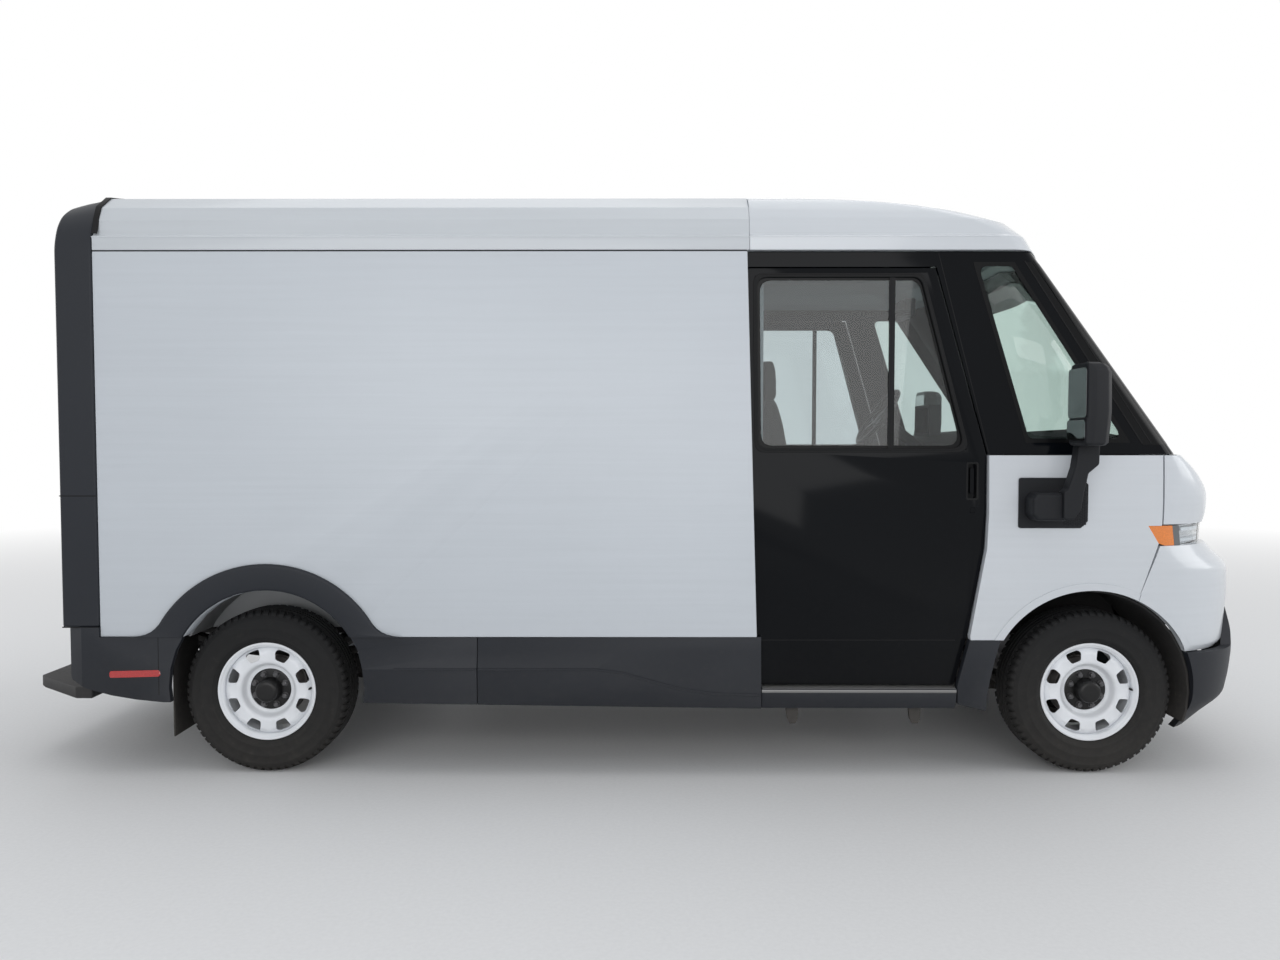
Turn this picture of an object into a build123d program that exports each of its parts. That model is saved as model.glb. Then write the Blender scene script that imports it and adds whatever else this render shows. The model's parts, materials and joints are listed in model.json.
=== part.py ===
"""Electric delivery van: a box-bodied walk-in van on a battery chassis.

Millimetres. +X points to the front of the van, +Y to its left side and +Z up.
The origin is on the ground, midway between the foremost and rearmost points.
Cab pieces are drawn with x measured from the front axle, tail pieces with x
measured from the rear axle, and both are moved to their axle at the end.
"""
import os
from math import atan2, ceil, cos, pi, sin, sqrt

from build123d import *

# Overall sizes
WHEELBASE = 3889.0
FRONT_OVERHANG = 915.5
REAR_OVERHANG = 921.5
STEP_REACH = 339.0
HALF_WIDTH = 1030.0
LENGTH = WHEELBASE + FRONT_OVERHANG + REAR_OVERHANG + STEP_REACH
FRONT_AXLE = LENGTH / 2 - FRONT_OVERHANG
REAR_AXLE = FRONT_AXLE - WHEELBASE

# Clearances
SEAT = 0.3
RUN = 0.05
MOVE_GAP = 6.0

# Flat strips that make up the round faces
WHEEL_SIDES = 24
HUB_SIDES = 12
ARCH_SIDES = 32
BAR_SIDES = 8
CORNER_PARTS = 4
BOW_PARTS = 4

# Wheels and axles
TYRE_RADIUS = 386.0
TYRE_WIDTH = 235.0
WHEEL_Y = HALF_WIDTH - 157
RIM_RADIUS = 233.0
RIM_WIDTH = 196.0
RIM_SKIN = 8.0
BEAD = 16.0
WINDOW_COUNT = 8
LUG_COUNT = 8
HUB_RADIUS = 98.0
FLANGE_RADIUS = 114.0
CAP_RADIUS = 52.0
SPINDLE_RADIUS = 32.0
DISC_RADIUS = 148.0
DISC_FACE = -RIM_WIDTH / 2 + 62
HUB_DEPTH = 104.0
KINGPIN_Y = WHEEL_Y - 73
PIN_RADIUS = 12.0

# Heights of the body
FLOOR_TOP = 760.0
FLOOR_DEPTH = 60.0
BOARD = 6.0
PANEL_BOTTOM = 658.0
PANEL_TOP = 2440.0
RAIL_TOP = 2512.0
BELT_Z = 1504.0
HOOD_BOTTOM = 1184.0
LAMP_TOP = HOOD_BOTTOM - MOVE_GAP
BUMPER_TOP = 1084.0
SKIRT_BOTTOM = 325.0
DOOR_BOTTOM = 430.0
DOOR_TOP = PANEL_TOP - 74
HOOP_BOTTOM = 703.0
PLATE_Z = 650.0
PLATE_PITCH = 177.8
PLATE_HOLE = 3.5
FRAME_BOTTOM = 560.0
FRAME_TOP = FLOOR_TOP - FLOOR_DEPTH - SEAT
FRAME_Y = 450.0
LANE_Y = 688.0

# Tail, measured from the rear axle
TAIL = -REAR_OVERHANG
HOOP_WIDTH = 173.0
HOOP_FRONT = TAIL + HOOP_WIDTH

# Side walls, measured from the middle of the van
WALL_INNER = HALF_WIDTH - 100
POCKET_OUTER = HALF_WIDTH - 21
POCKET_INNER = HALF_WIDTH - 79
DOOR_OUTER = POCKET_OUTER - MOVE_GAP
DOOR_INNER = POCKET_INNER + MOVE_GAP

# Cab, measured from the front axle
ROOF_SEAM = -1620.0
PANEL_FRONT = [(-1578.0, PANEL_BOTTOM), (-1630.0, PANEL_TOP)]
DOOR_REAR = -1655.0
DOOR_TRAVEL = 900.0
POCKET_REAR = DOOR_REAR - DOOR_TRAVEL - 10
CAB_HALF = HALF_WIDTH - 30
FENDER_SKIN = 40.0
HOOD_SKIN = 14.0
FRAME_SKIN = 45.0
GLASS_SKIN = 8.0
FIREWALL_X = 279.0
BEAM_FRONT = FRONT_OVERHANG - 372.5
HOOD_SEAM = (294.0, 301.0)
HOOD_PIVOT = (233.0, BELT_Z - 8)
BULKHEAD = (-1567.0, -1542.0)
BULKHEAD_OPENING = (-450.0, 150.0)
STEP_WELL = (-1529.0, -605.0)
BULKHEAD_DOOR_TOP = PANEL_TOP - 174
DRIVER_Y = 430.0
STEER_CENTRE = (-667.0, 1719.0)
STEER_TILT = 36.0

# Wheel arches: distance ahead of the axle, height of the middle, radius of the opening
ARCH_FRONT = (-22.0, 395.0, 482.0)
ARCH_REAR = (27.0, 422.0, 455.0)
ARCH_BAND = 123.0
LINER_SKIN = 12.0

# Horizontal sections of the nose and cab
# Columns: height, nose ahead of the front axle, distance inside the widest point,
# bow radius of the front, corner radius
HOOD_SECTIONS = [
    (HOOD_BOTTOM, 718, 0, 3500, 430), (1225, 726, 0, 3500, 410), (1330, 725, 2, 2900, 300),
    (1430, 691, 5, 2300, 170), (BELT_Z, 661, 9, 1950, 100),
]
FENDER_SECTIONS = [(500, 783, 0, 3500, 450), (1000, 783, 0, 3500, 450)] + HOOD_SECTIONS
GLASS_SECTIONS = [(BELT_Z + 5, 637, 30, 1900, 80), (PANEL_TOP + 2, -45, 30, 1900, 80)]
LAMP_SECTIONS = [(BUMPER_TOP - 20, 705, 3, 3500, 440), (LAMP_TOP, 709, 3, 3500, 430)]
BUMPER_SECTIONS = [
    (590, 801, 4, 3500, 450), (619, 828, 0, 3500, 450), (833, 848, 0, 3500, 450),
    (976, 846, 0, 3500, 450), (1046, 767, 0, 3500, 450), (BUMPER_TOP, 733, 0, 3500, 450),
]
LOWER_SECTIONS = [
    (206, 692, 26, 2700, 450), (272, 766, 16, 2700, 450), (350, 866, 4, 2700, 450),
    (455, 893, -4, 2500, 450), (570, FRONT_OVERHANG, -4, 2300, 450), (660, 900, -2, 2500, 450),
    (768, 868, 14, 2700, 450),
]
ROOF_SECTIONS = [
    (PANEL_TOP + 4, -39, 0, 1900, 110), (RAIL_TOP - 3, -79, 0, 1900, 130),
    (RAIL_TOP + 6, -87, 14, 1900, 140), (2586, -133, 20, 1900, 180), (2648, -249, 46, 1700, 240),
    (2710, -540, 130, 1500, 300), (2758, -1020, 380, 1100, 300), (2786, -1290, HALF_WIDTH - 330, 700, 220),
    (2796, -1500, HALF_WIDTH - 40, 200, 30),
]

# Side-view outlines of the cab, as (x, z)
DOOR_FRONT = [(-761, DOOR_TOP), (-514, BELT_Z), (-514, 1231), (-521, 1070), (-593, 665), (-651, DOOR_BOTTOM)]
LAMP_REAR = [(228, LAMP_TOP), (279, 1096), (316, BUMPER_TOP + SEAT)]
BUMPER_REAR = [(323, BUMPER_TOP), (287, BUMPER_TOP), (189, 835)]
QUARTER_OPENING = [(-583, 2390), (-401, 2390), (145, 1566), (-331, 1566)]
SCREEN_OPENING = [(-345, 2390), (1183, 2390), (1183, 1556), (211, 1556)]
WINDOW = [(-1587, 2329), (-824, 2329), (-609, 1531), (-1576, 1531)]
MIRROR_ARM = [(-155, 1565), (-61, 1565), (-63, 1465), (-110, 1425), (-130, 1330), (-140, 1262), (-172, 1215),
              (-220, 1215), (-220, 1340), (-202, 1355), (-172, 1450)]
MIRROR_BASE = [(-325, 1335), (-195, 1335), (-165, 1300), (-165, 1240), (-195, 1208), (-325, 1208),
               (-348, 1235), (-348, 1308)]

# Horizontal sections of the mirror heads
# Columns: height, back, front, nearest and furthest distance outside the body
MIRROR_SECTIONS = [
    (1548, -180, -76, 96, 246), (1562, -188, -64, 84, 258), (1700, -188, -54, 80, 262),
    (1870, -188, -57, 80, 262), (1900, -188, -72, 84, 256), (1914, -180, -88, 98, 240),
]

# Cross-sections, as distance inside the widest point and height, from the edge to the middle
ROOF_EDGE = [
    (0, PANEL_TOP + 4), (0, RAIL_TOP - 3), (14, RAIL_TOP + 6), (20, 2586), (46, 2648), (130, 2710),
    (380, 2758), (700, 2786), (HALF_WIDTH, 2796),
]
HOOP_FRONT_EDGE = [
    (-6, HOOP_BOTTOM), (-6, 2484), (18, 2574), (70, 2652), (150, 2712), (270, 2752), (470, 2784),
    (750, 2800), (HALF_WIDTH, 2804),
]
HOOP_REAR_EDGE = [
    (-6, HOOP_BOTTOM), (-6, 2466), (18, 2550), (56, 2609), (114, 2653), (239, 2706), (385, 2762),
    (620, 2792), (HALF_WIDTH, 2802),
]


def box(x0, x1, y0, y1, z0, z1):
    """A block between two corners."""
    centre = ((x0 + x1) / 2, (y0 + y1) / 2, (z0 + z1) / 2)
    return Pos(*centre) * Box(abs(x1 - x0), abs(y1 - y0), abs(z1 - z0))


def xz_prism(points, y0, y1):
    """A side-view outline given as (x, z), carried from y0 to y1."""
    plane = Plane(origin=(0, y0, 0), x_dir=(1, 0, 0), z_dir=(0, -1, 0))
    face = plane * make_face(Polyline(*points, close=True))
    return extrude(face, amount=y1 - y0, dir=(0, 1, 0))


def yz_prism(points, x0, x1):
    """A cross-section given as (y, z), carried from x0 to x1."""
    plane = Plane(origin=(x0, 0, 0), x_dir=(0, 1, 0), z_dir=(1, 0, 0))
    face = plane * make_face(Polyline(*points, close=True))
    return extrude(face, amount=x1 - x0, dir=(1, 0, 0))


def xy_prism(points, z0, z1):
    """A plan outline given as (x, y), carried from z0 to z1."""
    face = Plane(origin=(0, 0, z0)) * make_face(Polyline(*points, close=True))
    return extrude(face, amount=z1 - z0, dir=(0, 0, 1))


def bore_y(x, z, radius, y0, y1):
    """A round bore along Y."""
    return Pos(x, (y0 + y1) / 2, z) * Rot(90, 0, 0) * Cylinder(radius, abs(y1 - y0))


def bore_z(x, y, radius, z0, z1):
    """A round bore along Z."""
    return Pos(x, y, (z0 + z1) / 2) * Cylinder(radius, z1 - z0)


def bar_y(x, z, radius, y0, y1, sides=BAR_SIDES):
    """A bar along Y whose round face is made of flat strips."""
    face = Plane(origin=(x, y0, z), x_dir=(1, 0, 0), z_dir=(0, -1, 0)) * RegularPolygon(radius, sides)
    return extrude(face, amount=y1 - y0, dir=(0, 1, 0))


def bar_z(x, y, radius, z0, z1):
    """An upright bar whose round face is made of flat strips."""
    return extrude(Plane(origin=(x, y, z0)) * RegularPolygon(radius, BAR_SIDES), amount=z1 - z0)


def turned(points, sides):
    """A ring or disc about the Y axis from a (radius, y) outline, in flat strips."""
    rings = []
    for radius, y in points:
        turns = [2 * pi * k / sides for k in range(sides)]
        rings.append([(radius * cos(turn), y, radius * sin(turn)) for turn in turns])
    faces = []
    for row, (radius, _) in enumerate(points):
        before = points[row - 1][0]
        for k in range(sides):
            corners = [rings[row - 1][k - 1], rings[row - 1][k]][: 1 if before == 0 else 2]
            corners += [rings[row][k], rings[row][k - 1]][: 1 if radius == 0 else 2]
            if len(corners) > 2:
                faces.append(Face(Wire.make_polygon(corners)))
    return Solid(Shell(faces))


def other_side(shape):
    """The same piece on the other side of the van."""
    return mirror(shape, about=Plane.XZ)


def group(*shapes):
    """Separate solids that share a node."""
    return Compound(children=[solid for shape in shapes for solid in shape.solids()])


def placed(shape, x):
    """A piece moved along the van, from its axle's frame to the van's."""
    solids = (Pos(x, 0, 0) * shape).solids()
    return solids[0] if len(solids) == 1 else group(*solids)


def pair(*shapes):
    """Right-hand pieces and their left-hand mirror images, as solids of one node."""
    return group(*shapes, *[other_side(shape) for shape in shapes])


def plan_section(z, nose, side, bow, corner, inset, back):
    """A horizontal section of the cab: straight sides, round corners and a bowed front."""
    nose, half, bow, corner = nose - inset, HALF_WIDTH - side - inset, bow - inset, max(corner - inset, 12)
    reach = sqrt((bow - corner) ** 2 - (half - corner) ** 2)
    cx, cy = nose - bow + reach, half - corner
    tangent = atan2(cy, reach)
    points = [(back, half)]
    for k in range(CORNER_PARTS):
        turn = pi / 2 + (tangent - pi / 2) * k / CORNER_PARTS
        points.append((cx + corner * cos(turn), cy + corner * sin(turn)))
    for k in range(BOW_PARTS // 2):
        turn = tangent * (1 - 2 * k / BOW_PARTS)
        points.append((nose - bow + bow * cos(turn), bow * sin(turn)))
    points += [(nose, 0), *[(x, -y) for x, y in points[::-1]]]
    return [(x, y, z) for x, y in points]


def inset_outline(points, gap):
    """A closed outline with each side moved inward by the gap."""
    count = len(points)
    area = sum(points[k - 1][0] * points[k][1] - points[k][0] * points[k - 1][1] for k in range(count))
    turn = 1 if area > 0 else -1
    sides = []
    for k in range(count):
        (x0, z0), (x1, z1) = points[k - 1], points[k]
        length = sqrt((x1 - x0) ** 2 + (z1 - z0) ** 2)
        nx, nz = -turn * (z1 - z0) / length, turn * (x1 - x0) / length
        sides.append((nx, nz, nx * x0 + nz * z0 + gap))
    corners = []
    for k in range(count):
        a0, b0, c0 = sides[k]
        a1, b1, c1 = sides[(k + 1) % count]
        scale = a0 * b1 - a1 * b0
        corners.append(((c0 * b1 - c1 * b0) / scale, (a0 * c1 - a1 * c0) / scale))
    return corners


def whole_outline(edge):
    """A full cross-section from its right-hand edge, given as (distance inside the widest point, height)."""
    half = [(HALF_WIDTH - inside, z) for inside, z in edge]
    return half + [(-y, z) for y, z in half[-2::-1]]


def stacked(rings):
    """A closed form through outlines that have the same number of corners."""
    faces = [Face(Wire.make_polygon(rings[0])), Face(Wire.make_polygon(rings[-1]))]
    for low, high in zip(rings, rings[1:]):
        for k in range(len(low)):
            a, b, c, d = low[k - 1], low[k], high[k], high[k - 1]
            halves = ((a, b, c), (a, c, d)) if a[1] + b[1] > 0 else ((a, b, d), (b, c, d))
            faces += [Face(Wire.make_polygon(half)) for half in halves]
    return Solid(Shell(faces))


def solid_nose(sections, inset=0.0, back=-1717.0):
    """The filled form of a stack of plan sections, moved inward by the inset."""
    return stacked([plan_section(*row, inset, back) for row in sections])


def skin(sections, thickness):
    """The wall around a stack of plan sections, open at the back, top and bottom."""
    low, high = sections[0], sections[-1]
    rows = [(low[0] - 1, *low[1:]), *sections[1:-1], (high[0] + 1, *high[1:])]
    return solid_nose(sections) - solid_nose(rows, thickness, -1767.0)


def arch_cut(arch, extra=0.0):
    """A bar right through the van, as wide as a wheel arch."""
    x, z, radius = arch
    return bar_y(x, z, radius + extra, -1400, 1400, ARCH_SIDES)


def across(x0, x1, z0, z1):
    """A block as wide as any part of the van."""
    return box(x0, x1, -1400, 1400, z0, z1)


# The wheels

def tyre():
    """A tyre about the Y axis, its outer side towards -Y."""
    half, bead, seat = TYRE_WIDTH / 2, RIM_RADIUS - BEAD, RIM_WIDTH / 2
    wall = [
        (bead, seat - 12 - SEAT), (RIM_RADIUS + SEAT, seat - 7 - SEAT), (RIM_RADIUS + 8, half - 12),
        (bead + 70, half), (TYRE_RADIUS - 22, half - 16), (TYRE_RADIUS - 4, half - 36),
        (TYRE_RADIUS, half - 60),
    ]
    return turned([(r, -y) for r, y in wall] + wall[::-1], WHEEL_SIDES)


def rim():
    """A pressed steel wheel: barrel, dished disc and eight hand holes."""
    half, barrel = RIM_WIDTH / 2, RIM_RADIUS - BEAD - SEAT
    inner = barrel - RIM_SKIN
    back, front = DISC_FACE, DISC_FACE - 10
    outline = [
        (RIM_RADIUS - 14, -half), (RIM_RADIUS, -half), (RIM_RADIUS, -half + 7), (barrel, -half + 12),
        (barrel, half - 12), (RIM_RADIUS, half - 7), (RIM_RADIUS, half), (inner, half - 20),
        (inner, -half + 56), (180, -half + 24), (140, -half + 26), (118, back), (HUB_RADIUS, back),
        (HUB_RADIUS, front), (112, front - 2), (132, -half + 17), (184, -half + 14), (inner, -half + 36),
    ]
    wheel = turned(outline, WHEEL_SIDES)
    plane = Plane(origin=(0, -half - 20, 0), x_dir=(1, 0, 0), z_dir=(0, -1, 0))
    half_hole = [(150, 22), (186, 36), (203, 27)]
    hole = make_face(Polyline(*half_hole, *[(r, -w) for r, w in half_hole[::-1]], close=True))
    for k in range(WINDOW_COUNT):
        turn = Rot(0, 0, (k + 0.5) * 360 / WINDOW_COUNT)
        wheel -= extrude(plane * (turn * hole), amount=90, dir=(0, 1, 0))
    return wheel


def hub():
    """Hub with its lug nuts, centre cap, brake disc and a bore for the spindle."""
    half, face = RIM_WIDTH / 2, DISC_FACE + SEAT
    end = face + HUB_DEPTH
    pilot = HUB_RADIUS - 2
    outline = [
        (0, -half - 14), (CAP_RADIUS - 8, -half - 14), (CAP_RADIUS, -half - 4), (CAP_RADIUS + 3, face - 14),
        (pilot, face - 12), (pilot, face), (FLANGE_RADIUS, face), (FLANGE_RADIUS, face + 16),
        (DISC_RADIUS, face + 44), (DISC_RADIUS, face + 72), (50, face + 72), (50, end), (0, end),
    ]
    body = turned(outline, HUB_SIDES)
    for k in range(LUG_COUNT):
        angle = 2 * pi * (k + 0.5) / LUG_COUNT
        body += bar_y(77 * cos(angle), 77 * sin(angle), 13, face - 34, face - 10, 6)
    return body - bore_y(0, 0, SPINDLE_RADIUS + RUN, face + 30, end + 6)


# The running gear, measured from its axle

def knuckle():
    """Right front upright: spindle, ball joint bosses and steering arm."""
    inner = -WHEEL_Y + DISC_FACE + SEAT + HUB_DEPTH
    kingpin = -KINGPIN_Y
    z = TYRE_RADIUS
    upright = box(-42, 42, inner + MOVE_GAP, inner + 60, z - 118, z + 118)
    upright += bar_y(0, z, SPINDLE_RADIUS, inner - 70, inner + 30, HUB_SIDES)
    for low, high in ((z - 150, z - 100), (z + 100, z + 150)):
        upright += bar_z(0, kingpin, 28, low, high)
        upright += box(-24, 24, kingpin, inner + 40, low, high)
        upright -= bore_z(0, kingpin, PIN_RADIUS + RUN, z - 160, z - 112)
        upright -= bore_z(0, kingpin, PIN_RADIUS + RUN, z + 112, z + 160)
    arm = [(-20, inner + 58), (-190, kingpin + 100), (-190, kingpin + 140), (0, inner + 105)]
    return upright + xy_prism(arm, z - 90, z - 54)


def front_suspension():
    """Subframe, wishbones, springs and steering rack of the front axle."""
    z, tip = TYRE_RADIUS, KINGPIN_Y + 30
    rail, tower = FRAME_Y + SEAT, FRAME_Y + 50
    beam = box(-150, 150, -tower, tower, z - 191, z - 156)
    rack = bar_y(-228, z - 72, 24, -tower - 30, tower + 30)
    for side in (-1, 1):
        for width, low, high in ((150, z - 186, z - 156), (60, z + 156, z + 182)):
            plan = [(-30, tip), (30, tip), (30, tip - 130), (width, tower), (-width, tower),
                    (-30, tip - 130)]
            beam += xy_prism([(x, side * y) for x, y in plan], low, high)
        for low in (z - 166, z + 122):
            beam += bar_z(0, side * KINGPIN_Y, PIN_RADIUS, low, low + 44)
        for x in (-60, 24):
            beam += box(x, x + 36, side * rail, side * tower, z - 170, z + 250)
        beam += box(-60, 60, side * rail, side * tower, z + 150, z + 250)
        beam += bar_z(72, side * (tower + 60), 38, z - 160, z + 160)
        rack += box(-250, -140, side * 200, side * 240, z - 175, z - 72)
    return beam + rack


def front_drive_unit():
    """Motor and gearbox block on the subframe, with its two half shafts."""
    z, shaft = TYRE_RADIUS, KINGPIN_Y - 100
    block = box(-130, 150, -330, 330, z - 156 + SEAT, z + 140)
    block += bar_y(10, z + 20, 150, -250, 150, 16)
    block += bar_y(0, z, 16, -shaft, shaft)
    for side in (-1, 1):
        block += bar_y(0, z, 44, side * shaft, side * (shaft - 80))
    return block


def rear_axle():
    """Dead beam between the rear wheels, on two leaf springs."""
    z = TYRE_RADIUS
    inner = WHEEL_Y - (DISC_FACE + SEAT + HUB_DEPTH)
    axle = bar_y(0, z, 44, -(inner - MOVE_GAP), inner - MOVE_GAP)
    axle += bar_y(0, z, SPINDLE_RADIUS, -(inner + 70), inner + 70, HUB_SIDES)
    leaf = [(-620, 196), (-300, 92), (0, 58), (300, 92), (620, 196), (620, 222), (300, 122), (0, 94),
            (-300, 122), (-620, 222)]
    leaf = [(x, z + up) for x, up in leaf]
    near, far = FRAME_Y + 55, FRAME_Y + 120
    for side in (-1, 1):
        axle += xz_prism(leaf, side * far, side * near)
        axle += box(-60, 60, side * (far + 5), side * (near - 5), z, z + 70)
        axle += bar_z(95, side * (far + 50), 30, z, z + 250)
        axle += box(40, 125, side * (far + 80), side * (far + 20), z - 30, z + 30)
        for end in (-600, 600):
            axle += box(end - 22, end + 22, side * (far - 5), side * (FRAME_Y + SEAT), z + 190, FRAME_TOP)
    return axle


def chassis_frame():
    """Ladder frame under the floor, with its outriggers and the beam behind the bumper."""
    x0, x1 = REAR_AXLE - 708, FRONT_AXLE + BEAM_FRONT
    y, out, reach = FRAME_Y - 70, FRAME_Y + SEAT, WALL_INNER - 10
    members = [
        box(x1 - 20, x1, -620, 620, 480, FRAME_TOP),
        box(x1 - 60, x1 - 20 - SEAT, SEAT - y, y - SEAT, FRAME_BOTTOM + 20, FRAME_TOP - 20),
    ]
    for side in (-1, 1):
        members.append(box(x0, x1 - 20 - SEAT, side * y, side * FRAME_Y, FRAME_BOTTOM, FRAME_TOP))
    for x in (REAR_AXLE - 688, REAR_AXLE + 472, REAR_AXLE + 1372, FRONT_AXLE - 1517, FRONT_AXLE - 617):
        members.append(box(x, x + 60, SEAT - y, y - SEAT, FRAME_BOTTOM + 20, FRAME_TOP - 20))
    for x in (REAR_AXLE - 528, REAR_AXLE + 722, REAR_AXLE + 1272, FRONT_AXLE - 2067, FRONT_AXLE - 1597,
              FRONT_AXLE - 587):
        members += [box(x, x + 50, side * out, side * reach, FRAME_TOP - 36, FRAME_TOP) for side in (-1, 1)]
    return group(*members)


def battery_pack():
    """Traction battery, one closed block between the axles."""
    x0, x1 = REAR_AXLE + 622, FRONT_AXLE - 617
    pack = box(x0, x1, -660, 660, 300, FRAME_BOTTOM - SEAT)
    return pack + box(x0 + 40, x1 - 40, -682, 682, 424, 440)


# The body, between the two axles

def floor():
    """Decks and boards of the load floor and the cab floor, with the wheel tubs."""
    low, top, y = FLOOR_TOP - FLOOR_DEPTH, FLOOR_TOP - BOARD, WALL_INNER - SEAT
    x, z, radius = REAR_AXLE + ARCH_REAR[0], ARCH_REAR[1], ARCH_REAR[2]
    inner, outer = radius + 4, radius + 4 + LINER_SKIN
    x0, wall = REAR_AXLE + HOOP_FRONT + SEAT, FRONT_AXLE + BULKHEAD[0] - SEAT
    well = (FRONT_AXLE + STEP_WELL[0], FRONT_AXLE + STEP_WELL[1])
    nose = FRONT_AXLE - 487
    decks = [
        box(x0, nose, -LANE_Y, LANE_Y, low, top), box(x0, wall, -LANE_Y, LANE_Y, top + SEAT, FLOOR_TOP),
        box(nose + SEAT, FRONT_AXLE + FIREWALL_X - SEAT, -516, 516, low, top),
    ]
    tub_hole = bar_y(x, z, outer + SEAT, -1300, 1300, ARCH_SIDES)
    for side in (-1, 1):
        near, far = side * (LANE_Y + SEAT), side * y
        tub = bar_y(x, z, outer, near, far, ARCH_SIDES)
        tub -= bar_y(x, z, inner, side * (LANE_Y + LINER_SKIN), side * 1300, ARCH_SIDES)
        decks += [
            tub & across(x - 600, x + 600, 640, 1000),
            box(x0, x, near, far, low, FLOOR_TOP) - tub_hole,
            box(x, wall, near, far, low, FLOOR_TOP) - tub_hole,
            box(wall + SEAT, well[0] - SEAT, near, far, low, top),
            box(well[1] + SEAT, nose, near, far, low, top),
        ]
    return group(*decks)


def step_wells():
    """Boxed wells below the cab doors, one step down from the cab floor."""
    x0, x1 = FRONT_AXLE + STEP_WELL[0], FRONT_AXLE + STEP_WELL[1]
    near, inside, far = LANE_Y + SEAT, LANE_Y + LINER_SKIN, WALL_INNER - SEAT
    low, top = 400, FLOOR_TOP - BOARD
    plates = [box(x0, x1, -near, -inside, low, top), box(x0, x1, -inside - SEAT, -far, low, low + 20)]
    for x in (x0, x1 - 12):
        plates.append(box(x, x + 12, -inside - SEAT, -far, low + 20 + SEAT, top))
    plates.append(box(x0 + 12 + SEAT, x1 - 12 - SEAT, -inside - SEAT, -800, 580, 592))
    return pair(*plates)


def side_panels():
    """Side walls of the load space, each with a pocket for the sliding door."""
    x0 = REAR_AXLE + HOOP_FRONT + SEAT
    front = [(FRONT_AXLE + x, z) for x, z in PANEL_FRONT]
    wall = xz_prism([(x0, PANEL_BOTTOM), *front, (x0, PANEL_TOP)], -HALF_WIDTH, -WALL_INNER)
    wall -= Pos(REAR_AXLE, 0, 0) * arch_cut(ARCH_REAR)
    wall -= box(FRONT_AXLE + POCKET_REAR, front[0][0] + 10, -POCKET_OUTER, -POCKET_INNER, PANEL_BOTTOM - 10,
                DOOR_TOP + MOVE_GAP)
    return pair(wall)


def cargo_roof():
    """Roof shell over the load space, with its rain rail along each side."""
    inner = [(inside + 40, z - (40 if k > 1 else 0)) for k, (inside, z) in enumerate(ROOF_EDGE[:-1])]
    inner[0] = (40, ROOF_EDGE[0][1] - 1)
    inner.append((HALF_WIDTH, ROOF_EDGE[-1][1] - 40))
    x0, x1 = REAR_AXLE + HOOP_FRONT + SEAT, FRONT_AXLE + ROOF_SEAM - SEAT / 2
    return yz_prism(whole_outline(ROOF_EDGE), x0, x1) - yz_prism(whole_outline(inner), x0 - 5, x1 + 5)


def side_skirts():
    """Black plastic skirts below the load space, flared out to a crease that dips towards the cab."""
    near, top, wide = HALF_WIDTH - 18, PANEL_BOTTOM - SEAT, HALF_WIDTH + 10
    x0, seam, x1 = REAR_AXLE + ARCH_REAR[0], REAR_AXLE + 1009, FRONT_AXLE - 1557
    parts = []
    for line in ([(x0, 509), (seam - 1.5, 509)],
                 [(seam + 1.5, 509), (-220, 509), (-90, 494), (60, 452), (190, 418), (345, 396), (x1, 389)]):
        rings = []
        for x, crease in line:
            low = SKIRT_BOTTOM + 30 * (x1 - x) / (x1 - x0)
            upper = [(near, top), (wide - 16, top), (wide - 16, 590)]
            rings.append([(x, -y, z) for y, z in [*upper, (wide, crease), (wide - 3, low), (near, low)]])
        parts.append(stacked(rings))
    return pair(parts[0] - Pos(REAR_AXLE, 0, 0) * arch_cut(ARCH_REAR), parts[1])


# The tail, measured from the rear axle

def rear_hoop():
    """Thick rounded surround of the rear doorway."""
    ends = ((TAIL, HOOP_REAR_EDGE), (HOOP_FRONT, HOOP_FRONT_EDGE))
    hoop = stacked([[(x, y, z) for y, z in whole_outline(edge)] for x, edge in ends])
    side = WALL_INNER - 90
    hoop -= box(TAIL - 5, HOOP_FRONT + 5, -side, side, HOOP_BOTTOM - 5, PANEL_TOP - 110)
    return hoop - box(TAIL + 90, HOOP_FRONT + 5, -WALL_INNER, WALL_INNER, HOOP_BOTTOM - 5, PANEL_TOP - 40)


def roll_up_door():
    """Slatted curtain of the rear doorway."""
    x, points = TAIL + 96, []
    low, high = FLOOR_TOP + 4, PANEL_TOP - 114
    count = ceil((high - low) / 100)
    pitch = (high - low) / count
    for k in range(count):
        z = low + k * pitch
        points += [(x + 4, z), (x, z + 6), (x, z + pitch - 6)]
    points += [(x + 4, high), (x + 26, high), (x + 26, low)]
    door = xz_prism(points, -WALL_INNER + SEAT, WALL_INNER - SEAT)
    return door + box(x - 26, x + 4, -90, 90, low + 40, low + 60)


def tail_lamps():
    """Upright lamps in the rear face of the hoop."""
    return pair(box(TAIL - 8, TAIL - SEAT, -HALF_WIDTH + 30, -HALF_WIDTH + 125, 1180, 1560))


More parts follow.
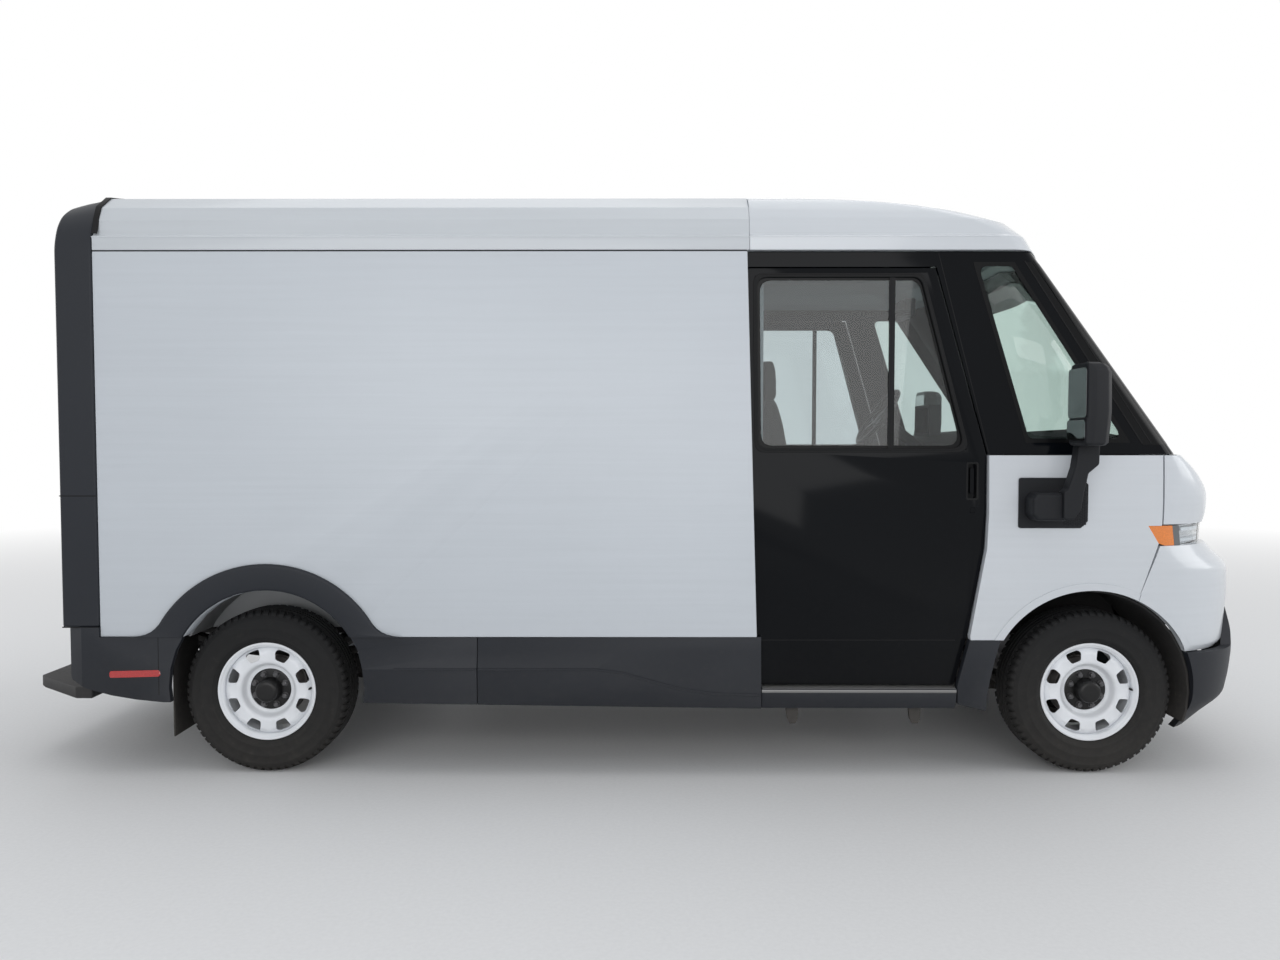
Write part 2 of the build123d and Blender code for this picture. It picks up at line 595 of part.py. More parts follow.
def rear_bumper():
    """Rear bumper with its corners wrapped round to the wheel arches."""
    x, wide = ARCH_REAR[0], HALF_WIDTH + 10
    outer = [(x - 100, -wide), (TAIL + 90, -wide), (TAIL + 24, -wide + 26), (TAIL, -wide + 100)]
    inner = [(x - 90, -wide + 30), (TAIL + 100, -wide + 30), (TAIL + 45, -wide + 50),
             (TAIL + 30, -wide + 110)]
    outer += [(px, -py) for px, py in outer[::-1]]
    inner += [(px, -py) for px, py in inner[::-1]]
    low, high = 353, HOOP_BOTTOM - SEAT
    shell = xy_prism(outer, low, high) - xy_prism(inner, low - 5, high + 5)
    outline = [
        (TAIL - 7, 800), (TAIL - 7, 512), (TAIL + 9, 512), (TAIL + 29, 455), (TAIL + 113, 416),
        (TAIL + 226, 385), (TAIL + 339, 366), (TAIL + 468, 353), (x - 90, 353),
        (x - 90, PANEL_BOTTOM - SEAT), (HOOP_FRONT, PANEL_BOTTOM - SEAT), (HOOP_FRONT, 800),
    ]
    shell = shell & xz_prism(outline, -1300, 1300)
    shell += box(TAIL + 20, HOOP_FRONT - 5, -WALL_INNER, WALL_INNER, high - 8, high)
    for y in (-PLATE_PITCH / 2, PLATE_PITCH / 2):
        shell -= Pos(TAIL + 20, y, PLATE_Z) * Rot(0, 90, 0) * Cylinder(PLATE_HOLE, 60)
    return shell - arch_cut(ARCH_REAR)


def rear_step():
    """Step across the back, on two brackets from the frame."""
    tip, back = TAIL - STEP_REACH, TAIL - 27
    half = [(tip, 660), (tip + 40, 700), (back, 900), (back + 80, 900)]
    tread = xy_prism(half + [(x, -y) for x, y in half[::-1]], 332, 388)
    for side in (-1, 1):
        tread += box(TAIL + 33, -708.3, side * (FRAME_Y - 70), side * FRAME_Y, 340, 640)
    return tread


def mud_flaps():
    """Rubber flaps behind the rear wheels."""
    x, y, top = -436, WALL_INNER, FLOOR_TOP - FLOOR_DEPTH - SEAT
    outline = [(10 - y, top), (10 - y, 640), (-y - 55, 640), (-y - 55, 175), (190 - y, 175), (190 - y, top)]
    return pair(yz_prism(outline, x, x + 8))


def arch_mouldings():
    """Black mouldings round the rear wheel arches."""
    x, z, radius = ARCH_REAR
    ring = bar_y(x, z, radius + ARCH_BAND, -HALF_WIDTH - 16, -HALF_WIDTH - SEAT, ARCH_SIDES)
    return pair((ring - arch_cut(ARCH_REAR)) & across(x - 700, x + 700, PANEL_BOTTOM, 1200))


# The cab, measured from the front axle

def front_wheelhouses():
    """Inner arches of the front wheels."""
    x, z, radius = ARCH_FRONT
    outer = CAB_HALF - 10.3
    house = bar_y(x, z, radius, -outer, -520, ARCH_SIDES)
    house -= bar_y(x, z, radius - LINER_SKIN, -outer - 5, -532, ARCH_SIDES)
    lower = across(x, x + 700, 250, 700) - across(x, x + radius - 90, 240, 642)
    return pair(house & (across(x - 700, x + 700, 642, 1000) + lower))


def firewall():
    """Wall between the cab and the nose, with the pivots of the hood."""
    x, wide = FIREWALL_X, HALF_WIDTH - 122
    px, pz = HOOD_PIVOT
    wall = box(x, x + 12, -wide, wide, FLOOR_TOP, BELT_Z - 2)
    wall -= arch_cut(ARCH_FRONT, SEAT)
    for side in (-1, 1):
        bracket = box(px - 24, x + 4, side * (wide - 22), side * wide, pz - 24, pz + 6)
        wall += bracket - bore_y(px, pz, 5 + RUN, side * (wide - 28), side * (wide + 4))
    return wall


def bulkhead():
    """Wall between the load space and the cab, with a doorway."""
    y = WALL_INNER - SEAT
    x0, x1 = BULKHEAD
    wall = box(x0, x1, -y, y, FLOOR_TOP - BOARD + SEAT, PANEL_TOP)
    wall -= box(x0 - 50, x1 + 25, *BULKHEAD_OPENING, FLOOR_TOP + 6, BULKHEAD_DOOR_TOP - 16)
    low, (left, right) = BULKHEAD_DOOR_TOP + MOVE_GAP, BULKHEAD_OPENING
    return wall + box(x0 - MOVE_GAP - 24, x0 + 5, left - 50, right + 710, low, low + 24)


def bulkhead_door():
    """Sliding door on the load side of the bulkhead."""
    x1 = BULKHEAD[0] - MOVE_GAP
    low, high = BULKHEAD_OPENING
    door = box(x1 - 22, x1, low - 20, high + 20, FLOOR_TOP + 8, BULKHEAD_DOOR_TOP)
    runner_top = BULKHEAD_DOOR_TOP + MOVE_GAP - SEAT
    door += box(x1 - 16, x1 - 6, low - 20, high + 20, BULKHEAD_DOOR_TOP - 5, runner_top)
    return door - box(x1 - 12, x1 + 5, low + 30, low + 60, 1500, 1640)


def cab_roof():
    """Domed roof shell over the cab."""
    rows = [(row[0] - (38 if k > 1 else 0), *row[1:]) for k, row in enumerate(ROOF_SECTIONS[:-1])]
    rows[0] = (ROOF_SECTIONS[0][0] - 1, *ROOF_SECTIONS[0][1:])
    shell = solid_nose(ROOF_SECTIONS) - solid_nose(rows, 38.0, -1767.0)
    return shell & across(ROOF_SEAM + SEAT / 2, 900, 2400, 2900)


def cab_frame():
    """Black pillars, door headers and the surround of the windscreen."""
    door = [(x + MOVE_GAP, z) for x, z in DOOR_FRONT]
    (x0, z0), (x1, z1) = PANEL_FRONT
    rear = x1 + (x0 - x1) * (z1 - DOOR_TOP) / (z1 - z0) + 2 * SEAT
    outline = [(rear, DOOR_TOP + MOVE_GAP), (door[0][0], DOOR_TOP + MOVE_GAP), (door[1][0], BELT_Z + 5)]
    outline += [(1083, BELT_Z + 5), (1083, PANEL_TOP + 2), (rear, PANEL_TOP + 2)]
    frame = skin(GLASS_SECTIONS, FRAME_SKIN) & xz_prism(outline, -1400, 1400)
    frame -= xz_prism(QUARTER_OPENING, -1400, 1400)
    return frame - xz_prism(SCREEN_OPENING, -1400, 1400)


def cab_glass():
    """Windscreen and the two quarter windows."""
    shell = skin(GLASS_SECTIONS, GLASS_SKIN)
    screen = shell & xz_prism(inset_outline(SCREEN_OPENING, SEAT), -1400, 1400)
    return group(screen, shell & xz_prism(inset_outline(QUARTER_OPENING, SEAT), -1400, 1400))


def door():
    """Right-hand sliding door, its rear edge inside the pocket."""
    outline = [(DOOR_REAR, DOOR_BOTTOM), (DOOR_REAR, DOOR_TOP), *DOOR_FRONT]
    leaf = xz_prism(outline, -DOOR_OUTER, -DOOR_INNER)
    leaf -= xz_prism(WINDOW, -DOOR_OUTER - 50, -DOOR_INNER + 50)
    y = (DOOR_OUTER + DOOR_INNER) / 2
    leaf += box(DOOR_REAR, -777, -y - 8, -y + 8, DOOR_TOP - 5, DOOR_TOP + MOVE_GAP - SEAT)
    return leaf - box(-601, -555, -DOOR_OUTER - 5, -DOOR_OUTER + 26, 1301, 1466)


def door_glass():
    """Window of the right-hand door."""
    return xz_prism(inset_outline(WINDOW, SEAT), -DOOR_OUTER + 12, -DOOR_OUTER + 18)


def fenders():
    """White side skins between the doors and the nose."""
    edge = [(x + MOVE_GAP, z) for x, z in DOOR_FRONT[1:5]]
    outline = [*edge, (-585, 645), (173, 645), (BUMPER_REAR[2][0] - SEAT, 835), (278.6, 1095.6),
               (227.5, LAMP_TOP + SEAT), (HOOD_SEAM[0], LAMP_TOP + SEAT), (HOOD_SEAM[0], BELT_Z)]
    shell = skin(FENDER_SECTIONS, FENDER_SKIN) & xz_prism(outline, -1400, 1400)
    return shell - arch_cut(ARCH_FRONT)


def hood():
    """White stub nose that lifts, on two goose-necked arms."""
    px, pz = HOOD_PIVOT
    ahead = across(HOOD_SEAM[1], 1083, HOOD_BOTTOM, BELT_Z)
    shell = skin(HOOD_SECTIONS, HOOD_SKIN) & ahead
    neck = [(-14, 8), (14, 8), (14, -135), (600, -135), (600, -165), (-14, -165)]
    neck = [(px + x, pz + z) for x, z in neck]
    whole = solid_nose(HOOD_SECTIONS, HOOD_SKIN / 2)
    y = HALF_WIDTH - 115
    for side in (-1, 1):
        shell += xz_prism(neck, side * y, side * (y + 25)) & whole
        shell += bar_y(px, pz, 5, side * (y - 35), side * (y + 5))
    return shell


def headlamps():
    """Lamp at each front corner."""
    outline = [*LAMP_REAR, (1083, BUMPER_TOP + SEAT), (1083, LAMP_TOP)]
    shell = skin(LAMP_SECTIONS, 70) & xz_prism(outline, -1400, 1400)
    return shell & pair(box(-117, 1083, -1300, -560, 1000, 1200))


def nose_band():
    """Black band between the headlamps."""
    return skin(LAMP_SECTIONS, 70) & box(-117, 1083, -560 + SEAT, 560 - SEAT, BUMPER_TOP + SEAT, LAMP_TOP)


def front_bumper():
    """White upper bumper, deeper at its corners."""
    low = [(1400, 590), (850, 590), (770, 772)]
    outline = [*low, *[(-y, z) for y, z in low[::-1]], (-1400, BUMPER_TOP), (1400, BUMPER_TOP)]
    shell = skin(BUMPER_SECTIONS, FENDER_SKIN) & yz_prism(outline, -1117, 1083)
    shell = shell & xz_prism([*BUMPER_REAR, (173, 590), (1083, 590), (1083, BUMPER_TOP)], -1400, 1400)
    whole = solid_nose(BUMPER_SECTIONS, FENDER_SKIN / 2)
    x = BEAM_FRONT + SEAT
    for side in (-1, 1):
        shell += box(x, x + 440, side * 420, side * 460, 790, 830) & whole
        shell += box(x, x + 20, side * 420, side * 460, 640, 830)
    return shell - arch_cut(ARCH_FRONT)


def lower_bumper():
    """Black lower bumper with an air inlet."""
    high = [(1400, 586), (844, 586), (764, 768)]
    outline = [(1400, 206), *high, *[(-y, z) for y, z in high[::-1]], (-1400, 206)]
    shell = skin(LOWER_SECTIONS, FENDER_SKIN) & yz_prism(outline, -1117, 1083)
    shell = shell & across(400, 1083, 206, 800)
    whole = solid_nose(LOWER_SECTIONS, FENDER_SKIN / 2)
    x = BEAM_FRONT + SEAT
    for side in (-1, 1):
        shell += box(x, x + 440, side * 560, side * 600, 560, 600) & whole
    for z in (404, 450, 496):
        shell -= box(583, 1083, -500, 500, z, z + 32)
    return shell - arch_cut(ARCH_FRONT, SEAT)


def entry_steps():
    """Step under each door and the trim behind each front wheel."""
    wide, near = HALF_WIDTH + 6, HALF_WIDTH - 30
    step = yz_prism([(-WALL_INNER, 418), (-wide, 418), (-wide, 366), (-wide + 16, 322), (-near, 322),
                     (-near, 352), (-WALL_INNER, 352)], -1555, -649)
    edge = [(x + MOVE_GAP, z) for x, z in DOOR_FRONT[4:]]
    trim = [(edge[0][0] - 3, 645 - SEAT), (-445, 645 - SEAT), (-472, 548), (-491, 465), (-505, 380),
            (-508, 312), (-643, 345), edge[1]]
    return pair(step, xz_prism(trim, -HALF_WIDTH - 4, -HALF_WIDTH + 40))


def mirrors():
    """Door mirrors on their arms and base plates."""
    y = HALF_WIDTH
    rings = []
    for z, back, front, near, far in MIRROR_SECTIONS:
        plan = [(back, near), (front - 40, near), (front, near + 34), (front, far - 52),
                (front - 34, far - 8), (front - 90, far), (back, far)]
        rings.append([(px, -y - out, z) for px, out in plan])
    head = stacked(rings)
    arm = xz_prism(MIRROR_ARM, -y - 130, -y - 62)
    arm += xz_prism(MIRROR_BASE, -y - 108, -y - SEAT)
    plate = xz_prism([(-375, 1168), (-375, 1401), (-87, 1401), (-55, 1370), (-55, 1200), (-87, 1168)],
                     -y - 8, -y - SEAT)
    return pair(head + arm + plate)


def steering_frame():
    """The steering column's own frame: Z runs down the column from the wheel's middle."""
    x, z = STEER_CENTRE
    tilt = STEER_TILT * pi / 180
    return Plane(origin=(x, DRIVER_Y, z), x_dir=(0, 1, 0), z_dir=(cos(tilt), 0, -sin(tilt)))


def dashboard():
    """Dash across the cab with the instrument pod and the steering column."""
    wide = HALF_WIDTH - 170
    top = [(-377, 1300), (-377, 1560), (-317, 1620), (-17, 1640), (263, 1580), (263, 1300)]
    dash = xz_prism(top, -wide, wide)
    dash += box(-397, -327, DRIVER_Y - 150, DRIVER_Y + 150, 1600, 1790)
    dash += box(223, FIREWALL_X - SEAT, -wide, wide, 1200, 1320)
    column = bar_z(0, 0, 34, 60, 400) + bar_z(0, 0, 12, 10, 70)
    return dash + steering_frame() * column


def steering_wheel():
    """Steering wheel on the end of its column."""
    section = [(190 + 15 * cos(pi * k / 3), 15 * sin(pi * k / 3)) for k in range(6)]
    wheel = Rot(90, 0, 0) * turned(section, WHEEL_SIDES) + bar_z(0, 0, 52, 0, 44)
    for turn in (90, 210, 330):
        wheel += Rot(0, 0, turn) * (Pos(110, 0, 12) * Box(150, 34, 14))
    return steering_frame() * (wheel - Pos(0, 0, 40) * Cylinder(12 + RUN, 64))


def driver_seat():
    """Driver's seat on its pedestal."""
    y0, y1 = DRIVER_Y - 240, DRIVER_Y + 240
    seat = box(-1237, -887, y0 + 50, y1 - 50, FLOOR_TOP - BOARD + SEAT, 1110)
    seat += box(-1317, -787, y0, y1, 1100, 1240)
    seat += xz_prism([(-1327, 1230), (-1197, 1230), (-1317, 1820), (-1427, 1820), (-1427, 1700)], y0, y1)
    return seat + box(-1417, -1337, DRIVER_Y - 120, DRIVER_Y + 120, 1810, 2060)


NODES = {}
for name, x, side in (
    ("fl", FRONT_AXLE, 1), ("fr", FRONT_AXLE, -1), ("rl", REAR_AXLE, 1), ("rr", REAR_AXLE, -1),
):
    for kind, make in (("tyre", tyre), ("rim", rim), ("hub", hub)):
        right = Pos(x, -WHEEL_Y, TYRE_RADIUS) * make()
        NODES[f"{kind}_{name}"] = right if side < 0 else other_side(right)

for kind, make in (("knuckle", knuckle), ("door", door), ("door_glass", door_glass)):
    right = placed(make(), FRONT_AXLE)
    NODES[f"{kind}_right"] = right
    NODES[f"{kind}_left"] = other_side(right)

for make in (chassis_frame, battery_pack, floor, step_wells, side_panels, cargo_roof, side_skirts):
    NODES[make.__name__] = make()
for make in (
    rear_axle, rear_hoop, roll_up_door, tail_lamps, rear_bumper, rear_step, mud_flaps, arch_mouldings,
):
    NODES[make.__name__] = placed(make(), REAR_AXLE)
for make in (
    front_suspension, front_drive_unit, front_wheelhouses, firewall, bulkhead, bulkhead_door, cab_roof,
    cab_frame, cab_glass, fenders, hood, headlamps, nose_band, front_bumper, lower_bumper, entry_steps,
    mirrors, dashboard, steering_wheel, driver_seat,
):
    NODES[make.__name__] = placed(make(), FRONT_AXLE)

os.makedirs("parts", exist_ok=True)
for name, shape in NODES.items():
    export_step(shape, f"parts/{name}.step")
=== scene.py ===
import json
import math

import bmesh
import bpy
from mathutils import Matrix, Vector

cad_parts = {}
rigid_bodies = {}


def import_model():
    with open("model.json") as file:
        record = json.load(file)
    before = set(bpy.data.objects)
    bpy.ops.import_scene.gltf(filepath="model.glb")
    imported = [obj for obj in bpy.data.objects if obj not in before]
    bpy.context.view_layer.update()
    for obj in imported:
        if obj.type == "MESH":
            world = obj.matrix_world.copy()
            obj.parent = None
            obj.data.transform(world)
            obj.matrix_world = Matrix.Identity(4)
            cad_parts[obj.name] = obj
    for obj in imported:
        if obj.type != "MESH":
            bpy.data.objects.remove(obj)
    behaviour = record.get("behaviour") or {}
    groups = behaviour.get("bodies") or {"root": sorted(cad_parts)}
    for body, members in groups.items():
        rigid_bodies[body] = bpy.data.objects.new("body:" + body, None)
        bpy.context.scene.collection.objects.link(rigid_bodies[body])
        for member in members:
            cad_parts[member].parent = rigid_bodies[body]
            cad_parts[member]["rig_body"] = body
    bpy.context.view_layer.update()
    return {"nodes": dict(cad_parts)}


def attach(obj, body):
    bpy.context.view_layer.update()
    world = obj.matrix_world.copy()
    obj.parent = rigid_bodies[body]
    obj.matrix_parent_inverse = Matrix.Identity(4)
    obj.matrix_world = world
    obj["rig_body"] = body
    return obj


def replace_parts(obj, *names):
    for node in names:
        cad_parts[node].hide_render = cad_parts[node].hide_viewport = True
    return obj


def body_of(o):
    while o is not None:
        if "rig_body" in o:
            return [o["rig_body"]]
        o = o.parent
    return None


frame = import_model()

cad = frame["nodes"]

# Viewpoint, floor and light.
# The van is seen square on from its right, from eye height, on a pale studio floor under soft light.

focal_pixels, photo_pixels = 948, 1280
pitch, yaw = -2.3, 0.2
eye = bpy.data.objects.new("eye", bpy.data.cameras.new("eye"))
bpy.context.scene.collection.objects.link(eye)
eye.location = (0.0105, -5.407, 1.566)
eye.rotation_euler = (math.radians(90 + pitch), 0, math.radians(yaw))
eye.data.sensor_width = 36
eye.data.lens = focal_pixels * 36 / photo_pixels
bpy.context.scene.camera = eye
bpy.context.scene.view_settings.view_transform = "Standard"


def wire(tree, kind, sockets=None, **settings):
    """Adds one shader or geometry node, sets it up and joins its inputs."""
    made = tree.nodes.new(kind)
    for key, value in settings.items():
        setattr(made, key, value)
    for key, value in (sockets or {}).items():
        socket = made.inputs[key]
        if isinstance(value, bpy.types.NodeSocket):
            tree.links.new(value, socket)
        else:
            socket.default_value = value
    return made


def new_finish(name):
    """An empty material and its node tree, ready for a surface."""
    finish = bpy.data.materials.new(name)
    finish.use_nodes = True
    finish.node_tree.nodes.clear()
    return finish, finish.node_tree


def object_space(tree):
    """Each spot's place in the object's own metres."""
    return wire(tree, "ShaderNodeTexCoord").outputs["Object"]


def maths(tree, operation, *values, clamp=False):
    """One sum on the way through a node tree."""
    made = wire(tree, "ShaderNodeMath", dict(enumerate(values)), operation=operation, use_clamp=clamp)
    return made.outputs[0]


def noise(tree, place, scale, detail=2.0):
    """Soft noise at a place, from 0 to 1."""
    return wire(tree, "ShaderNodeTexNoise", {"Vector": place, "Scale": scale, "Detail": detail}).outputs["Fac"]


def ranged(tree, value, low, high, to_low=0.0, to_high=1.0):
    """A value moved from one range into another and held there."""
    ends = {"From Min": low, "From Max": high, "To Min": to_low, "To Max": to_high}
    return wire(tree, "ShaderNodeMapRange", {"Value": value, **ends}).outputs[0]


def scaled(tree, value, by):
    """A colour or a vector times a number."""
    return wire(tree, "ShaderNodeVectorMath", {0: value, "Scale": by}, operation="SCALE").outputs[0]


def lit_by(tree, rays):
    """1 for the kinds of ray that are named, 0 for all others."""
    path = wire(tree, "ShaderNodeLightPath")
    total = path.outputs[rays[0]]
    for ray in rays[1:]:
        total = maths(tree, "ADD", total, path.outputs[ray], clamp=True)
    return total


seeing_rays = ["Is Camera Ray", "Is Glossy Ray", "Is Transmission Ray"]
studio = bpy.data.worlds.new("studio")
bpy.context.scene.world = studio
studio.use_nodes = True
tree = studio.node_tree
tree.nodes.clear()
soft = wire(tree, "ShaderNodeBackground", {"Color": (0.93, 0.96, 1.0, 1), "Strength": 0.55})
white = wire(tree, "ShaderNodeBackground", {"Color": (1, 1, 1, 1), "Strength": 1.0})
seen = lit_by(tree, seeing_rays)
mixed = wire(tree, "ShaderNodeMixShader", {0: seen, 1: soft.outputs[0], 2: white.outputs[0]})
wire(tree, "ShaderNodeOutputWorld", {"Surface": mixed.outputs[0]})

bpy.ops.mesh.primitive_circle_add(vertices=96, radius=60, fill_type="NGON", location=(0, 0, -0.0005))
ground = bpy.context.object
ground.name = "studio_floor"
finish, tree = new_finish("studio_floor")
place = object_space(tree)
away = wire(tree, "ShaderNodeVectorMath", {0: place}, operation="LENGTH").outputs["Value"]
fade = maths(tree, "MULTIPLY", ranged(tree, away, 4.0, 16.0), lit_by(tree, seeing_rays))
shade = ranged(tree, noise(tree, place, 60.0, 4.0), 0.0, 1.0, 0.70, 0.78)
near = wire(tree, "ShaderNodeBsdfPrincipled", {"Base Color": shade, "Roughness": 0.7})
glow = wire(tree, "ShaderNodeEmission", {"Color": (1, 1, 1, 1), "Strength": 1.0})
mixed = wire(tree, "ShaderNodeMixShader", {0: fade, 1: near.outputs[0], 2: glow.outputs[0]})
wire(tree, "ShaderNodeOutputMaterial", {"Surface": mixed.outputs[0]})
ground.data.materials.append(finish)

for name, place, size, power in (
    ("sky_panel", (0, 0, 7.5), (9, 6), 150),
    ("side_panel", (-1.0, -8.5, 3.0), (9, 4), 215),
    ("far_panel", (0, 8.5, 4.2), (9, 4), 110),
    ("nose_panel", (8.5, -3.0, 3.4), (5, 3.5), 130),
    ("tail_panel", (-8.5, 0, 3.4), (5, 3.5), 60),
):
    lamp = bpy.data.objects.new(name, bpy.data.lights.new(name, "AREA"))
    bpy.context.scene.collection.objects.link(lamp)
    lamp.data.shape = "RECTANGLE"
    lamp.data.size, lamp.data.size_y = size
    lamp.data.energy = power
    lamp.location = place
    lamp.rotation_euler = (Vector((0, 0, 1.2)) - Vector(place)).to_track_quat("-Z", "Y").to_euler()
    lamp.visible_camera = lamp.visible_transmission = False


# Frame, axles and battery.
# Welded steel rails painted black carry the axles, the drive unit and the flat battery case.
# Everything here hangs under the floor, so it is duller and dustier than the body.

def effect(name, inputs, outputs):
    """An empty shader group with its named sockets, and its input and output nodes."""
    group = bpy.data.node_groups.new(name, "ShaderNodeTree")
    for label, kind, value in inputs:
        socket = group.interface.new_socket(label, in_out="INPUT", socket_type="NodeSocket" + kind)
        socket.default_value = value
    for label, kind in outputs:
        group.interface.new_socket(label, in_out="OUTPUT", socket_type="NodeSocket" + kind)
    return group, group.nodes.new("NodeGroupInput").outputs, group.nodes.new("NodeGroupOutput").inputs


road_film, given, result = effect(
    "road_film",
    [("Colour", "Color", (0.5, 0.5, 0.5, 1)), ("Vary", "Float", 0.08), ("Dust", "Float", 0.3),
     ("Reach", "Float", 0.9)],
    [("Colour", "Color"), ("Mask", "Float")],
)
tree = road_film
place = object_space(tree)
patch, fleck = noise(tree, place, 1.7, 5.0), noise(tree, place, 38.0, 6.0)
height = wire(tree, "ShaderNodeSeparateXYZ", {0: place}).outputs["Z"]
low = maths(tree, "SUBTRACT", 1.0, maths(tree, "DIVIDE", height, given["Reach"]), clamp=True)
spread = maths(tree, "MULTIPLY", maths(tree, "POWER", low, 1.6), maths(tree, "ADD", patch, fleck))
spots = ranged(tree, fleck, 0.62, 0.78, 0.0, 0.22)
dirt = maths(tree, "MULTIPLY", maths(tree, "ADD", spread, spots), given["Dust"], clamp=True)
shift = maths(tree, "MULTIPLY", maths(tree, "SUBTRACT", patch, 0.5), given["Vary"])
level = maths(tree, "ADD", 1.0, maths(tree, "MULTIPLY", shift, 2.0))
varied = scaled(tree, given["Colour"], level)
dusty = wire(tree, "ShaderNodeMix", {0: dirt, 6: varied, 7: (0.23, 0.205, 0.175, 1)}, data_type="RGBA")
tree.links.new(dusty.outputs[2], result["Colour"])
tree.links.new(dirt, result["Mask"])

pebble, given, result = effect("pebble", [("Scale", "Float", 300.0), ("Coarse", "Float", 0.3)],
                               [("Height", "Float")])
tree = pebble
place = object_space(tree)
cells = wire(tree, "ShaderNodeTexVoronoi", {"Vector": place, "Scale": given["Scale"]}, feature="SMOOTH_F1")
broad = maths(tree, "MULTIPLY", noise(tree, place, 24.0, 4.0), given["Coarse"])
tree.links.new(maths(tree, "ADD", cells.outputs["Distance"], broad), result["Height"])


def painted(finish, sockets):
    """The material with its shader and output."""
    shader = wire(finish.node_tree, "ShaderNodeBsdfPrincipled", sockets)
    wire(finish.node_tree, "ShaderNodeOutputMaterial", {"Surface": shader.outputs[0]})
    return finish


def surface(name, shade, rough, dust=0.3, reach=0.9, vary=0.08, grain=300.0, coarse=0.3, relief=0.15,
            metal=0.0, shine=0.5):
    """A material of its own colour and grain, with road film over it."""
    finish, tree = new_finish(name)
    film = wire(tree, "ShaderNodeGroup", {"Colour": (*shade, 1), "Vary": vary, "Dust": dust, "Reach": reach},
                node_tree=road_film).outputs
    skin = wire(tree, "ShaderNodeGroup", {"Scale": grain, "Coarse": coarse}, node_tree=pebble).outputs
    bump = wire(tree, "ShaderNodeBump", {"Strength": relief, "Distance": 0.0006, "Height": skin["Height"]})
    return painted(finish, {
        "Base Color": film["Colour"], "Roughness": ranged(tree, film["Mask"], 0.0, 1.0, rough, 0.85),
        "Normal": bump.outputs[0], "Metallic": metal, "Specular IOR Level": shine})


def settled(piece):
    """The piece with its modifiers made part of its mesh."""
    graph = bpy.context.evaluated_depsgraph_get()
    mesh = bpy.data.meshes.new_from_object(piece.evaluated_get(graph), depsgraph=graph)
    piece.modifiers.clear()
    old, piece.data = piece.data, mesh
    bpy.data.meshes.remove(old)
    return piece


def linked(name, shape):
    """A new object in the scene that holds the shape."""
    piece = bpy.data.objects.new(name, bpy.data.meshes.new(name))
    bpy.context.scene.collection.objects.link(piece)
    shape.to_mesh(piece.data)
    shape.free()
    return piece


def shown(name, shape, finish, body="body", smooth=35):
    """A finished mesh as a piece of the van that rides on a body."""
    shape.normal_update()
    for edge in shape.edges:
        edge.smooth = len(edge.link_faces) == 2 and edge.calc_face_angle(0) < math.radians(smooth)
    for face in shape.faces:
        face.smooth = True
    piece = linked(name, shape)
    piece.data.materials.append(finish)
    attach(piece, body)
    return piece


def eased(node, finish, width=0.003, sharp=28):
    """A CAD piece with its flats joined and its edges rounded, which stands for the node."""
    shape = bmesh.new()
    shape.from_mesh(cad[node].data)
    bmesh.ops.remove_doubles(shape, verts=shape.verts, dist=2e-5)
    bmesh.ops.dissolve_limit(shape, angle_limit=math.radians(0.6), verts=shape.verts, edges=shape.edges)
    piece = shown(node + "_finished", shape, finish, body_of(cad[node])[0], smooth=180)
    eased_edges(piece, width, sharp)
    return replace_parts(settled(piece), node)


def eased_edges(piece, width, sharp):
    """Rounds the edges that are sharper than an angle in degrees."""
    edge = piece.modifiers.new("edge", "BEVEL")
    edge.limit_method, edge.angle_limit = "ANGLE", math.radians(sharp)
    edge.width, edge.segments, edge.harden_normals = width, 2, True


under_steel = surface("under_steel", (0.014, 0.014, 0.015), 0.55, dust=0.25, reach=1.1, grain=90, relief=0.3,
                      shine=0.3)
case_metal = surface("case_metal", (0.055, 0.057, 0.06), 0.5, dust=0.5, grain=60, relief=0.2)
drive_metal = surface("drive_metal", (0.33, 0.33, 0.34), 0.45, dust=0.45, grain=140, relief=0.4, metal=0.9)
cast_iron = surface("cast_iron", (0.085, 0.08, 0.075), 0.6, dust=0.5, grain=160, relief=0.6, metal=0.6)
for node in ("chassis_frame", "front_suspension", "rear_axle"):
    eased(node, under_steel)
eased("battery_pack", case_metal, 0.012)
eased("front_drive_unit", drive_metal, 0.008)
for node in ("knuckle_left", "knuckle_right"):
    eased(node, cast_iron, 0.004)


# Wheels.
# Black rubber tyres with ribbed tread on white pressed-steel wheels; each wheel is held
# to its black hub by eight nuts round a domed cap, with an iron brake disc behind it.

def lofted(rings, ends=True, closed=False):
    """A skin through closed rings of corners, with a face on each end or back to its first ring."""
    shape = bmesh.new()
    rings = [[shape.verts.new(spot) for spot in ring] for ring in rings]
    if closed:
        rings.insert(0, rings[-1])
    for before, after in zip(rings, rings[1:]):
        for k in range(len(before)):
            shape.faces.new((before[k - 1], before[k], after[k], after[k - 1]))
    if ends:
        shape.faces.new(rings[0])
        shape.faces.new(rings[-1])
    bmesh.ops.recalc_face_normals(shape, faces=shape.faces)
    return shape


def joined(shapes):
    """Several meshes as one."""
    for other in shapes[1:]:
        mesh = bpy.data.meshes.new("other")
        other.to_mesh(mesh)
        other.free()
        shapes[0].from_mesh(mesh)
        bpy.data.meshes.remove(mesh)
    return shapes[0]


